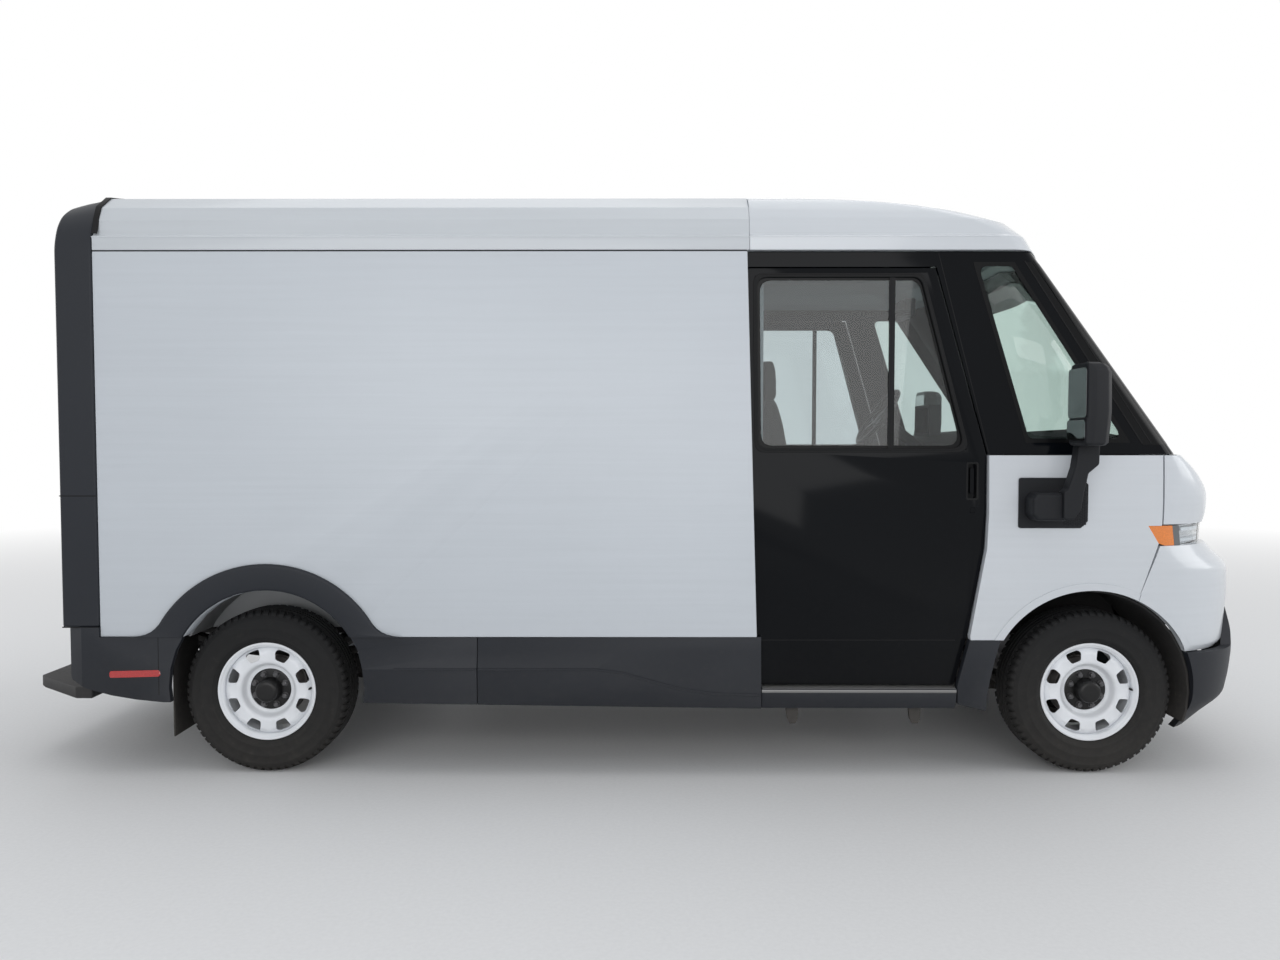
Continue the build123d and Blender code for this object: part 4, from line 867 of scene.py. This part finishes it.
def softened(rows, share=0.3, parts=4):
    """A stack of plan sections with each crease between two flats rounded."""
    stack = [rows[0]]
    for before, here, after in zip(rows, rows[1:], rows[2:]):
        one = [h + (b - h) * share for b, h in zip(before, here)]
        two = [h + (a - h) * share for a, h in zip(after, here)]
        for n in range(parts + 1):
            t = n / parts
            a, b, c = (1 - t) ** 2, 2 * t * (1 - t), t ** 2
            stack.append([p * a + h * b + q * c for p, h, q in zip(one, here, two)])
    return stack + [rows[-1]]


def nose_form(rows, inset=0.0, back=0.4, corner_parts=10, bow_parts=28):
    """The filled form of the cab through plan sections: straight sides, round corners and a bowed front.

    Rows give height, nose ahead of the front axle, distance inside the widest point,
    bow radius and corner radius, in millimetres.
    """
    rings = []
    for row in rows:
        z, nose, side, bow, corner = (value / 1000 for value in row)
        nose, half, bow = front_axle + nose - inset, half_width - side - inset, bow - inset
        corner = max(corner - inset, 0.012)
        reach = math.sqrt((bow - corner) ** 2 - (half - corner) ** 2)
        cx, cy = nose - bow + reach, half - corner
        tangent = math.atan2(cy, reach)
        line = [(back, half)]
        for k in range(corner_parts):
            turn = math.pi / 2 + (tangent - math.pi / 2) * k / corner_parts
            line.append((cx + corner * math.cos(turn), cy + corner * math.sin(turn)))
        for k in range(bow_parts // 2):
            turn = tangent * (1 - 2 * k / bow_parts)
            line.append((nose - bow + bow * math.cos(turn), bow * math.sin(turn)))
        line += [(nose, 0), *[(x, -y) for x, y in line[::-1]]]
        rings.append([(x, y, z) for x, y in line])
    return lofted(rings)


def hollow(rows, wall):
    """The cutter that leaves a wall of a thickness in a form; it reaches further back than the form does."""
    return nose_form(rows, wall, back=0.35)


body_white = lined_white("body_white", (0.6, 0.63, 0.665), 0.24, 0.05, 0.4)
roof_rows = [(2444, -39, 0, 1900, 110), (2509, -79, 0, 1900, 130), (2518, -87, 14, 1900, 140),
             (2586, -178, 20, 1900, 240), (2648, -362, 46, 1900, 400), (2710, -800, 130, 1900, 560),
             (2758, -1150, 380, 1300, 400), (2786, -1350, 700, 700, 220), (2796, -1500, 990, 200, 30)]
outer = roof_rows[:3] + fine(roof_rows[3:])
inner = [(2443, *roof_rows[0][1:]), roof_rows[1]] + [(row[0] - 38, *row[1:]) for row in roof_rows[2:-1]]
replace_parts(carved("cab_roof_finished", nose_form(outer), body_white,
                   keep=[side_view(oblong(-1.61985, 0.9, 2.4, 2.9))], cut=[hollow(inner, 0.038)],
                   width=0.005, sharp=25), "cab_roof")
bead = strip(-1.0302, [(0.505, 2.5055), (1.64, 2.5055)], 0.006, 0.0016)
shown("cab_rail_bead", both_sides(bead), body_white)


# Sliding cab doors.
# Gloss-black leaves that run back into the side walls; each has a fixed window in a rubber
# surround with a divider, a pull let into its front edge and a crease low down.

def grown(outline, by):
    """A closed outline moved outward by a distance, or inward if it is negative."""
    area = sum(outline[k - 1][0] * z - x * outline[k - 1][1] for k, (x, z) in enumerate(outline))
    sides = []
    for k, (x, z) in enumerate(outline):
        way = Vector((x - outline[k - 1][0], z - outline[k - 1][1])).normalized()
        normal = Vector((way.y, -way.x)) * (1 if area > 0 else -1)
        sides.append((normal, normal.dot(Vector((x, z))) + by))
    corners = []
    for k in range(len(outline)):
        (a, c), (b, d) = sides[k], sides[(k + 1) % len(outline)]
        scale = a.x * b.y - a.y * b.x
        corners.append(((c * b.y - d * a.y) / scale, (d * a.x - c * b.x) / scale))
    return corners


def surround(outline, profile):
    """A closed trim round an outline; the profile gives (distance outside it, y, corner radius)."""
    rings = [[(x, y, z) for x, z in rounded(grown(outline, by), bend)] for by, y, bend in profile]
    return lofted(rings, ends=False, closed=True)


def glazing(name, shade):
    """Tinted glass that lets light and shadow rays straight through."""
    finish, tree = new_finish(name)
    cloud = noise(tree, object_space(tree), 3.0, 5.0)
    colour = scaled(tree, shade, ranged(tree, cloud, 0.0, 1.0, 0.93, 1.0))
    pane = wire(tree, "ShaderNodeBsdfPrincipled", {
        "Base Color": colour, "Roughness": 0.0, "IOR": 1.07, "Coat Weight": 0.8, "Coat Roughness": 0.02,
        "Transmission Weight": 1.0})
    clear = wire(tree, "ShaderNodeBsdfTransparent", {"Color": colour})
    mixed = wire(tree, "ShaderNodeMixShader", {0: lit_by(tree, ["Is Shadow Ray", "Is Diffuse Ray"]),
                                               1: pane.outputs[0], 2: clear.outputs[0]})
    wire(tree, "ShaderNodeOutputMaterial", {"Surface": mixed.outputs[0]})
    return finish


gloss_black = surface("gloss_black", (0.0024, 0.0032, 0.0046), 0.09, dust=0.03, reach=1.3, vary=0.2, grain=30,
                      relief=0.01, shine=0.11)
frit_black = surface("frit_black", (0.003, 0.0034, 0.004), 0.25, dust=0.02, grain=900, relief=0.02, shine=0.15)
door_glazing = glazing("door_glazing", (0.66, 0.72, 0.73))
skin, pane_face, pane_back = -1.003, -0.9919, -0.9912      # the door's outer face and both faces by its glass
window = [(front_axle + x, z) for x, z in ((-1.587, 2.329), (-0.824, 2.329), (-0.609, 1.531), (-1.576, 1.531))]
window_trim = [(0.014, skin, 0.05), (0.013, -1.005, 0.05), (0.009, -1.0058, 0.05), (0.006, -1.0046, 0.05),
               (0.003, -1.0058, 0.05), (-0.003, -1.0056, 0.05), (-0.005, skin, 0.05), (-0.005, -0.995, 0.05),
               (0.0, -0.995, 0.05), (0.0, skin, 0.05)]
window_band = [(-0.0004, pane_back, 0.002), (-0.0004, pane_face, 0.002), (-0.018, pane_face, 0.055),
               (-0.018, pane_back, 0.055)]
recess_trim = [(0.006, skin, 0.01), (0.005, -1.0042, 0.01), (0.001, -1.0042, 0.008), (-0.003, -1.0025, 0.008),
               (-0.003, -0.986, 0.008), (-0.0003, -0.986, 0.002), (-0.0003, skin, 0.002)]
for hand, turn in (("right", lambda shape: shape), ("left", mirrored)):
    door = "door_" + hand
    eased(door, gloss_black, 0.004)
    pane = bmesh.new()
    pane.from_mesh(cad["door_glass_" + hand].data)
    bmesh.ops.remove_doubles(pane, verts=pane.verts, dist=2e-5)
    piece = shown("door_pane_" + hand, pane, door_glazing, door, smooth=20)
    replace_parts(piece, "door_glass_" + hand)
    trim = surround(window, window_trim)
    shown("window_rubber_" + hand, turn(trim), black_rubber, door)
    shown("window_frit_" + hand, turn(surround(window, window_band)), frit_black, door)
    bar = joined([prism(oblong(1.1465, 1.1735, 1.532, 2.328), -0.9917, -0.9985, taper=0.004),
                  prism(oblong(1.1565, 1.1635, 1.532, 2.328), -0.9985, -1.0005)])
    shown("window_divider_" + hand, turn(bar), gloss_black, door)
    bezel = surround(oblong(1.516, 1.562, 1.301, 1.466), recess_trim)
    shown("pull_bezel_" + hand, turn(bezel), black_rubber, door)
    pull = joined([prism(rounded(oblong(1.53, 1.548, 1.325, 1.447), 0.008), -0.9775, -0.996, taper=0.04),
                   prism(rounded(oblong(1.529, 1.553, 1.236, 1.262), 0.006), -1.0028, -1.0052, taper=0.12)])
    shown("door_pull_" + hand, turn(pull), gloss_black, door)
    crease = strip(-1.0029, [(0.515, 0.64), (1.468, 0.64)], 0.004, 0.0008)
    shown("door_crease_" + hand, turn(crease), black_rubber, door)


# Pillars, windscreen and quarter windows.
# Gloss-black pillars round a bowed laminated screen, which is bonded in and has a wide black
# edge; a rubber wiper arm with its blade parks along its foot on each side.

def front_view(outline, x0=2.0, x1=3.3):
    """A cutter from an outline seen from the front, as (y, z)."""
    form = prism(outline, x0, x1)
    moved(form, Matrix(((0, 1, 0, 0), (1, 0, 0, 0), (0, 0, 1, 0), (0, 0, 0, 1))))
    bmesh.ops.recalc_face_normals(form, faces=form.faces)
    return form


glass_rows = [(1509, 637, 30, 1900, 80), (2442, -45, 30, 1900, 80)]
below = [(1508, 637.7, 30, 1900, 80), (2443, -45.7, 30, 1900, 80)]      # the same form, 1 mm longer at each end
quarter = [(-0.583, 2.39), (-0.401, 2.39), (0.145, 1.566), (-0.331, 1.566)]
screen = [(-0.345, 2.39), (1.183, 2.39), (1.183, 1.556), (0.211, 1.556)]
cab_glazing = glazing("cab_glazing", (0.7, 0.8, 0.765))
past_nose = 1.083      # the front end of an outline that takes in the whole nose
frame_line = [(-1.6279, 2.372), (-0.755, 2.372), (-0.508, 1.509), (past_nose, 1.509), (past_nose, 2.442),
              (-1.62996, 2.442)]
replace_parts(carved("cab_pillars", nose_form(glass_rows), gloss_black,
                   keep=[side_view(frame_line)],
                   cut=[hollow(below, 0.045), side_view(quarter), side_view(screen)]), "cab_frame")
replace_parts(carved("windscreen_glass", nose_form(glass_rows), cab_glazing,
                   keep=[side_view(grown(screen, -0.0003))], cut=[hollow(below, 0.008)], width=0), "cab_glass")
carved("quarter_glass", nose_form(glass_rows), cab_glazing,
       keep=[side_view(grown(quarter, -0.0003))], cut=[hollow(below, 0.008)], width=0)
clear_view = rounded([(-0.805, 1.625), (0.805, 1.625), (0.785, 2.3), (-0.785, 2.3)], 0.1)
carved("screen_edge", nose_form(below, -0.0009, 0.42), frit_black, width=0.0003,
       keep=[side_view(grown(screen, 0.003))], cut=[hollow(below, 0.0006), front_view(clear_view, 1.5, 3.5)])
for hand, shift in (("right", -0.36), ("left", 0.26)):
    blade = [(shift - 0.3, 1.56), (shift - 0.3, 1.572), (shift + 0.3, 1.59), (shift + 0.3, 1.578)]
    arm = [(shift + 0.29, 1.522), (shift + 0.32, 1.528), (shift + 0.01, 1.586), (shift - 0.01, 1.574)]
    for part, line, outside, inside in (("blade", blade, -0.014, -0.0015), ("arm", arm, -0.02, -0.0142)):
        carved(f"wiper_{part}_{hand}", nose_form(below, outside, 0.42), black_rubber,
               keep=[front_view(line, 2.3, 3.0)], cut=[hollow(below, inside)], width=0.002)
edge_trim = [(0.004, -1.0002, 0.006), (0.004, -1.0012, 0.006), (-0.016, -1.0012, 0.03), (-0.016, -1.0002, 0.03)]
band = surround([(front_axle + x, z) for x, z in quarter], edge_trim)
shown("quarter_edge", both_sides(band), frit_black)
for name, y, line, wide, thick in (
    ("screen_rubber", -1.0003, [(1.7655, 2.399), (2.323, 1.559)], 0.006, 0.0018),
    ("corner_rubber", -1.0003, [(1.807, 2.399), (2.365, 1.559)], 0.006, 0.0018),
    ("pillar_seam", -1.0002, [(1.368, 2.441), (1.6145, 1.509)], 0.0045, 0.0008),
):
    shown(name, both_sides(strip(y, line, wide, thick)), black_rubber)


# Nose.
# White moulded fenders, lifting hood and deep bumper; headlamps let into the front corners,
# a black band between them, and a textured lower bumper with three air slots.

hood_rows = [(1184, 718, 0, 3500, 430), (1225, 726, 0, 3500, 410), (1330, 725, 2, 2900, 300),
             (1430, 691, 5, 2300, 170), (1504, 661, 9, 1950, 100)]
fender_rows = [(500, 783, 0, 3500, 450), (1000, 783, 0, 3500, 450)]
lamp_rows = [(1064, 705, 3, 3500, 440), (1178, 709, 3, 3500, 430)]
bumper_rows = [(590, 801, 4, 3500, 450), (619, 828, 0, 3500, 450), (833, 848, 0, 3500, 450),
               (976, 846, 0, 3500, 450), (1046, 767, 0, 3500, 450), (1084, 733, 0, 3500, 450)]
lower_rows = [(206, 692, 26, 2700, 450), (272, 766, 16, 2700, 450), (350, 866, 4, 2700, 450),
              (455, 893, -4, 2500, 450), (570, 915.5, -4, 2300, 450), (660, 900, -2, 2500, 450),
              (768, 868, 14, 2700, 450)]
hands = (("right", -1), ("left", 1))


def capped(rows):
    """The rows for the inside of a skin, a little longer than it at both ends."""
    return [(rows[0][0] - 1, *rows[0][1:]), *rows[1:-1], (rows[-1][0] + 1, *rows[-1][1:])]


def arch(grow=0.0, sides=112):
    """A cutter for the front wheel arch."""
    radius = 0.482 + grow
    turns = [2 * math.pi * k / sides for k in range(sides)]
    return side_view([(-0.022 + radius * math.cos(t), 0.395 + radius * math.sin(t)) for t in turns])


smooth_hood = softened(hood_rows, 0.34)
fender_form = fender_rows + smooth_hood
fender_line = [(-0.508, 1.504), (-0.508, 1.231), (-0.515, 1.07), (-0.587, 0.665), (-0.585, 0.645),
               (0.173, 0.645), (0.1887, 0.835), (0.2786, 1.0956), (0.2275, 1.1783), (0.294, 1.1783),
               (0.294, 1.504)]
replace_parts(carved("fenders_finished", nose_form(fender_form), body_white,
                   keep=[side_view(fender_line)], cut=[hollow(capped(fender_form), 0.04), arch()],
                   width=0.004), "fenders")
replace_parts(carved("hood_finished", nose_form(smooth_hood), body_white, body="hood",
                   keep=[side_view(oblong(0.301, past_nose, 1.184, 1.504))],
                   cut=[hollow(capped(smooth_hood), 0.014)], width=0.004), "hood")
neck = [(0.219, 1.504), (0.247, 1.504), (0.247, 1.361), (0.833, 1.361), (0.833, 1.331), (0.219, 1.331)]
for hand, side in hands:
    carved("hood_arm_" + hand, side_view(neck, side * 0.915, side * 0.94), under_steel,
           body="hood", keep=[nose_form(smooth_hood, 0.01)])
    pin = lathe([(0, 0), (0.005, 0), (0.005, 0.04), (0, 0.04)], 16, closed=False)
    moved(pin, Matrix.Translation((2.35, 0.88 if side > 0 else -0.92, 1.496)))
    shown("hood_pin_" + hand, pin, under_steel, "hood")

upper_line = [(0.323, 1.084), (0.287, 1.084), (0.189, 0.835), (0.173, 0.59), (past_nose, 0.59),
              (past_nose, 1.084)]
above_notch = [(1.4, 0.59), (0.85, 0.59), (0.77, 0.772), (-0.77, 0.772), (-0.85, 0.59), (-1.4, 0.59),
               (-1.4, 1.084), (1.4, 1.084)]
soft = softened(bumper_rows, 0.2)
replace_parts(carved("front_bumper_finished", nose_form(soft), body_white,
                   keep=[side_view(upper_line), front_view(above_notch)],
                   cut=[hollow(capped(soft), 0.04), arch()], width=0.007, sharp=20), "front_bumper")
in_notch = [(1.4, 0.206), (1.4, 0.586), (0.844, 0.586), (0.764, 0.768), (-0.764, 0.768), (-0.844, 0.586),
            (-1.4, 0.586), (-1.4, 0.206)]
slots = [front_view(rounded(oblong(-0.5, 0.5, z, z + 0.032), 0.012)) for z in (0.404, 0.45, 0.496)]
soft = softened(lower_rows, 0.3, 3)
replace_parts(carved("lower_bumper_finished", nose_form(soft), charcoal,
                   keep=[side_view(oblong(0.4, past_nose, 0.206, 0.8)), front_view(in_notch)],
                   cut=[hollow(capped(soft), 0.04), arch(0.0003), *slots], width=0.005), "lower_bumper")
fender_lip = [(-0.56, 0.6455), (0.173, 0.6455), (0.1885, 0.835), (0.23, 0.96), (-0.55, 0.96)]
bumper_lip = [(0.1765, 0.591), (0.1915, 0.835), (0.24, 0.96), (0.6, 0.96), (0.6, 0.591)]
for name, rows, line in (("fender_lip", fender_form, fender_lip), ("bumper_lip", bumper_rows[:4], bumper_lip)):
    carved(name, nose_form(rows, -0.005), body_white, keep=[side_view(line), arch(0.034)],
           cut=[hollow(capped(rows), 0.012), arch()])

for hand, side in hands:
    for level, rows, z0, z1, y0, y1 in (("upper", bumper_rows, 0.79, 0.83, 0.42, 0.46),
                                        ("lower", lower_rows, 0.56, 0.6, 0.56, 0.6)):
        bracket = block(0.5433, 0.9833, side * y0, side * y1, z0, z1)
        carved(f"{level}_bumper_bracket_{hand}", bracket, under_steel,
               keep=[nose_form(rows, 0.02)], width=0.002)
    post = block(0.5433, 0.5633, side * 0.42, side * 0.46, 0.64, 0.83)
    shown("bumper_post_" + hand, post, under_steel)

bar = prism(oblong(2.895, 2.899, 0.402, 0.53), -0.4915, -0.4885)
inlet = row(bar, tread_black, along(99, pitch=(0, 0.01, 0)))
shown("inlet_bars", inlet, tread_black, smooth=10)

reflector = surface("reflector", (0.62, 0.63, 0.65), 0.16, dust=0.02, grain=160, metal=1.0)
guide_white = surface("guide_white", (0.8, 0.82, 0.84), 0.3, dust=0.02, relief=0.1)
bezel_grey = surface("bezel_grey", (0.12, 0.125, 0.13), 0.35, dust=0.1, grain=500, relief=0.1)
lamp_glass = glazing("lamp_glass", (0.93, 0.95, 0.96))
low, high, lamp_back, lamp_edge = 1.0843, 1.178, -0.117, 0.56
lamp_parts = (
    ("amber", amber_lens, [(0.228, high), (0.279, 1.096), (0.316, low), (0.368, low), (0.352, high)],
     0.0, 0.07),
    ("bezel", bezel_grey, [(0.352, high), (0.368, low), (0.402, low), (0.39, high)], 0.0, 0.07),
    ("clear", lamp_glass, [(0.39, high), (0.402, low), (past_nose, low), (past_nose, high)], 0.0, 0.003),
    ("bowl", reflector, [(0.391, high - 0.001), (0.403, low + 0.001), (past_nose, low + 0.001),
                         (past_nose, high - 0.001)], 0.03, 0.07),
    ("guide_top", guide_white, oblong(0.41, past_nose, 1.15, 1.166), 0.01, 0.0298),
    ("guide_low", guide_white, oblong(0.41, past_nose, 1.1, 1.114), 0.01, 0.0298),
)
for name, finish, line, near, deep in lamp_parts:
    for hand, side in hands:
        edge = lamp_edge + (0.003 if near else 0)
        corner = block(lamp_back, past_nose, side * edge, side * 1.3, 1.0, 1.2)
        piece = carved(f"headlamp_{name}_{hand}", nose_form(lamp_rows, near), finish,
                       keep=[side_view(line), corner],
                       cut=[hollow(capped(lamp_rows), deep)], width=0 if name == "clear" else 0.001)
        if name == "amber" and side < 0:
            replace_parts(piece, "headlamps")
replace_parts(carved("nose_band_finished", nose_form(lamp_rows), gloss_black,
                   keep=[block(lamp_back, past_nose, 0.0003 - lamp_edge, lamp_edge - 0.0003, low, high)],
                   cut=[hollow(capped(lamp_rows), 0.07)], width=0.002), "nose_band")


# Mirrors.
# Deep matt-black heads on angled arms; each arm ends in a round-ended foot that is bolted
# through a flat plate, pierced like a honeycomb, to the fender.

mirror_black = surface("mirror_black", (0.0085, 0.0095, 0.012), 0.6, dust=0.05, reach=1.2, grain=650,
                       relief=0.3, shine=0.25)
# The mirror panes are a dark metal grey rather than a bright mirror: a painted dark reflection.
mirror_glass = surface("mirror_glass", (0.13, 0.135, 0.14), 0.03, dust=0.02, vary=0.02, grain=20, relief=0.004,
                       metal=1.0)
# Height, back, front, nearest and furthest from the wall: one row for each section of the head.
head_rows = [(1.548, -0.172, -0.086, 0.104, 0.238), (1.551, -0.182, -0.073, 0.092, 0.25),
             (1.562, -0.188, -0.064, 0.084, 0.258), (1.64, -0.188, -0.058, 0.081, 0.261),
             (1.668, -0.188, -0.056, 0.08, 0.262), (1.674, -0.183, -0.056, 0.08, 0.262),
             (1.7, -0.183, -0.054, 0.08, 0.262), (1.87, -0.183, -0.057, 0.08, 0.262),
             (1.892, -0.183, -0.066, 0.081, 0.259), (1.906, -0.181, -0.079, 0.086, 0.252),
             (1.914, -0.174, -0.096, 0.1, 0.238)]
arm_line = [(-0.155, 1.565), (-0.061, 1.565), (-0.063, 1.465), (-0.11, 1.425), (-0.13, 1.33), (-0.14, 1.262),
            (-0.172, 1.215), (-0.22, 1.215), (-0.22, 1.34), (-0.202, 1.355), (-0.172, 1.45)]
foot_line = [(-0.325, 1.335), (-0.195, 1.335), (-0.165, 1.3), (-0.165, 1.24), (-0.195, 1.208),
             (-0.325, 1.208), (-0.348, 1.235), (-0.348, 1.308)]
plate_line = [(-0.375, 1.168), (-0.375, 1.401), (-0.087, 1.401), (-0.055, 1.37), (-0.055, 1.2), (-0.087, 1.168)]
for hand, side in hands:
    rings = []
    for z, back, front, near, far in head_rows:
        plan = [(back, near), (front - 0.04, near), (front, near + 0.034), (front, far - 0.052),
                (front - 0.034, far - 0.008), (front - 0.09, far), (back, far)]
        rings.append([(front_axle + x, side * (half_width + out), z) for x, out in rounded(plan, 0.016, 4)])
    piece = carved("mirror_head_" + hand, lofted(rings), mirror_black, width=0.002, sharp=25)
    if side < 0:
        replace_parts(piece, "mirrors")
    for part, line, bend, far, near, width in (("arm", arm_line, 0.018, 1.16, 1.092, 0.009),
                                               ("foot", foot_line, 0.022, 1.138, 1.0303, 0.016),
                                               ("plate", plate_line, 0.012, 1.038, 1.0303, 0.002)):
        carved(f"mirror_{part}_{hand}", side_view(rounded(line, bend, 4), side * far, side * near),
               mirror_black, width=width)
    for part, z0, z1, x0, x1 in (("main", 1.672, 1.89, 1.9305, 1.9345), ("wide", 1.572, 1.662, 1.9265, 1.9295)):
        pane = rounded(oblong(1.105, 1.278, z0, z1), 0.018)
        shown(f"mirror_glass_{part}_{hand}", front_view([(side * y, z) for y, z in pane], x0, x1), mirror_glass)

six = hexagon(0.0058)
cell = joined([prism(line, -1.0378, -1.0394, taper=0.35) for line in
               (six, [(x + 0.0105, z + 0.0061) for x, z in six])])
cells = row(cell, mirror_black, along(5, pitch=(0.021, 0, 0)), along(17, pitch=(0, 0, 0.0122)))
moved(cells, Matrix.Translation((1.954, 0, 1.182)))
shown("plate_honeycomb", both_sides(cells), mirror_black, smooth=15)


# Entry steps and sill trims.
# A ribbed alloy tread in a black plastic tray under each door, on two brackets from the well,
# and a textured trim that carries the sill on to the front wheel arch.

step_alloy = surface("step_alloy", (0.2, 0.205, 0.21), 0.42, dust=0.5, relief=0.3, metal=0.7)
eased("entry_steps", charcoal, 0.004)
groove = prism([(0.565, 0.4182), (0.568, 0.42), (1.464, 0.42), (1.467, 0.4182)], -1.0305, -1.0215)
grooves = both_sides(row(groove, step_alloy, along(7, pitch=(0, 0.013, 0))))
shown("step_tread", grooves, step_alloy, smooth=10)
lip = strip(-1.0362, [(0.563, 0.406), (1.467, 0.406)], 0.014, 0.001)
shown("step_edge", both_sides(lip), step_alloy)
hangers = []
for x in (0.711, 1.288):
    web = [(x - 0.03, 0.3222), (x - 0.022, 0.262), (x - 0.01, 0.24), (x + 0.016, 0.24), (x + 0.026, 0.262),
           (x + 0.03, 0.3222)]
    hangers += [prism(web, -0.985, -0.965), prism(oblong(x - 0.026, x + 0.026, 0.313, 0.3222), -1.000, -0.9)]
shown("step_hangers", both_sides(joined(hangers)), under_steel)


# Cab interior.
# Grained grey dash with an instrument pod, a leather-covered wheel, a black cloth seat on a
# steel box, two pedals and a display hung from the header.

dash_grey = surface("dash_grey", (0.016, 0.017, 0.019), 0.6, dust=0.03, grain=420, relief=0.35)
wheel_cover = surface("wheel_cover", (0.014, 0.014, 0.015), 0.5, dust=0.05, grain=520, relief=0.35)
screen_dark = surface("screen_dark", (0.01, 0.012, 0.016), 0.06, dust=0.02, grain=30, relief=0.005)
seat_cloth = surface("seat_cloth", (0.018, 0.018, 0.02), 0.88, dust=0.06, vary=0.2, grain=1100, coarse=0.2,
                     relief=0.6)
eased("dashboard", dash_grey, 0.014)
for name, x, outline, bend in (
    ("pod_screen", 1.7175, oblong(0.3, 0.56, 1.622, 1.772), 0.01),
    ("centre_screen", 1.737, oblong(-0.15, 0.13, 1.4, 1.545), 0.01),
    ("header_screen", 1.4545, oblong(-0.115, 0.115, 2.275, 2.35), 0.006),
):
    thick = 0.0027 if name == "header_screen" else 0.003
    shown(name, front_view(rounded(outline, bend), x, x + thick), screen_dark)
carved("header_display", block(-0.66, -0.6, -0.13, 0.13, 2.262, 2.362), dash_grey, width=0.008)
slat = prism([(-0.006, 0), (0.002, 0.003), (0.002, 0.005), (-0.006, 0.002)], -0.055, 0.055)
slats = row(slat, wheel_cover, along(6, pitch=(0, 0, 0.011)))
for name, y in (("left", 0.72), ("mid_left", 0.2), ("mid_right", -0.22), ("right", -0.72)):
    vent = moved(slats.copy(), Matrix.Translation((1.7385, y, 1.33)))
    shown("vent_" + name, vent, wheel_cover, smooth=10)
for name, y in (("brake_pedal", 0.455), ("speed_pedal", 0.345)):
    pedal = block(-0.012, 0.012, y - 0.035, y + 0.035, 0.8, 0.93)
    lean = Matrix.Rotation(math.radians(-28), 4, "Y") @ Matrix.Translation((-front_axle, 0, -0.865))
    moved(pedal, Matrix.Translation((2.25, 0, 0.865)) @ lean)
    carved(name, pedal, wheel_cover, width=0.004)
    lever = block(0.156, 0.174, y - 0.009, y + 0.009, 0.93, 1.24)
    carved(name + "_lever", lever, under_steel, width=0.002)

tilt = math.radians(36)
down = Vector((math.cos(tilt), 0, -math.sin(tilt)))
across = Vector((0, 1, 0))
put = Matrix.Translation((1.45, 0.43, 1.719)) @ Matrix((across, down.cross(across), down)).transposed().to_4x4()
turns = [2 * math.pi * k / 14 for k in range(14)]
rim = [(0.19 + 0.0148 * math.cos(turn), 0.0148 * math.sin(turn)) for turn in turns]
hub = [(0, -0.002), (0.036, 0.0), (0.05, 0.006), (0.056, 0.016), (0.052, 0.04), (0.046, 0.044),
       (0.0125, 0.044), (0.0125, 0.02), (0, 0.02)]
grip = joined([lathe(rim, 72), lathe(hub, 40, closed=False)])
moved(grip, put @ Matrix.Rotation(math.pi / 2, 4, "X"))
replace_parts(shown("wheel_grip", grip, wheel_cover, "steering_wheel", smooth=40), "steering_wheel")
spoke_line = [(0.035, 0.005), (0.18, 0.007), (0.185, 0.012), (0.18, 0.017), (0.035, 0.019)]
for k, turn in enumerate((90, 210, 330)):
    spoke = moved(prism(spoke_line, -0.016, 0.016), put @ Matrix.Rotation(math.radians(turn), 4, "Z"))
    carved(f"wheel_spoke_{k}", spoke, wheel_cover, body="steering_wheel")


def cushion(name, size, centre, lean=0.0, crown=0.016, seams=0.62):
    """A stuffed cushion: round edges, a crowned face and two stitched channels."""
    shape = bmesh.new()
    bmesh.ops.create_cube(shape, size=2.0)
    bmesh.ops.subdivide_edges(shape, edges=shape.edges, cuts=27, use_grid_fill=True)
    for vert in shape.verts:
        x, y, z = vert.co
        round_to = max(abs(x), abs(y), abs(z)) / (abs(x) ** 5 + abs(y) ** 5 + abs(z) ** 5) ** 0.2
        spot = vert.co * round_to
        rise = crown * (1 - spot.x ** 2) * (1 - spot.y ** 2)
        rise -= 0.009 * math.exp(-((abs(spot.y) - seams) / 0.035) ** 2) * (1 - spot.x ** 4)
        rise += 0.0016 * math.sin(9 * spot.x + 3 * spot.y) * math.cos(7 * spot.y - 2 * spot.x)
        vert.co = (spot.x * size[0] / 2, spot.y * size[1] / 2, spot.z * (size[2] / 2 - crown + rise))
    moved(shape, Matrix.Translation(centre) @ Matrix.Rotation(lean, 4, "Y"))
    piece = shown(name, shape, seat_cloth, smooth=60)
    soft = piece.modifiers.new("soft", "SUBSURF")
    soft.levels = soft.render_levels = 1
    return settled(piece)


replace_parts(carved("seat_box", block(-1.237, -0.887, 0.24, 0.62, 0.7543, 1.102), under_steel,
                   width=0.006), "driver_seat")
cushion("seat_cushion", (0.53, 0.48, 0.15), (1.075, 0.43, 1.168), lean=math.radians(-2))
cushion("seat_back", (0.6, 0.47, 0.13), (0.815, 0.43, 1.525), lean=math.radians(-100.6))
cushion("head_rest", (0.24, 0.24, 0.1), (0.768, 0.43, 1.935), lean=math.radians(-93), crown=0.01, seams=3.0)
posts = [lathe([(0, 0), (0.006, 0), (0.006, 0.16), (0, 0.16)], 14, closed=False) for k in range(2)]
post = joined([moved(posts[0], Matrix.Translation((0.12, 0, 0))), posts[1]])
upright = Matrix.Rotation(math.pi / 2, 4, "Z") @ Matrix.Rotation(math.pi / 2, 4, "X")
moved(post, Matrix.Translation((0.768, 0.37, 1.76)) @ upright)
shown("head_rest_posts", post, nut_steel)
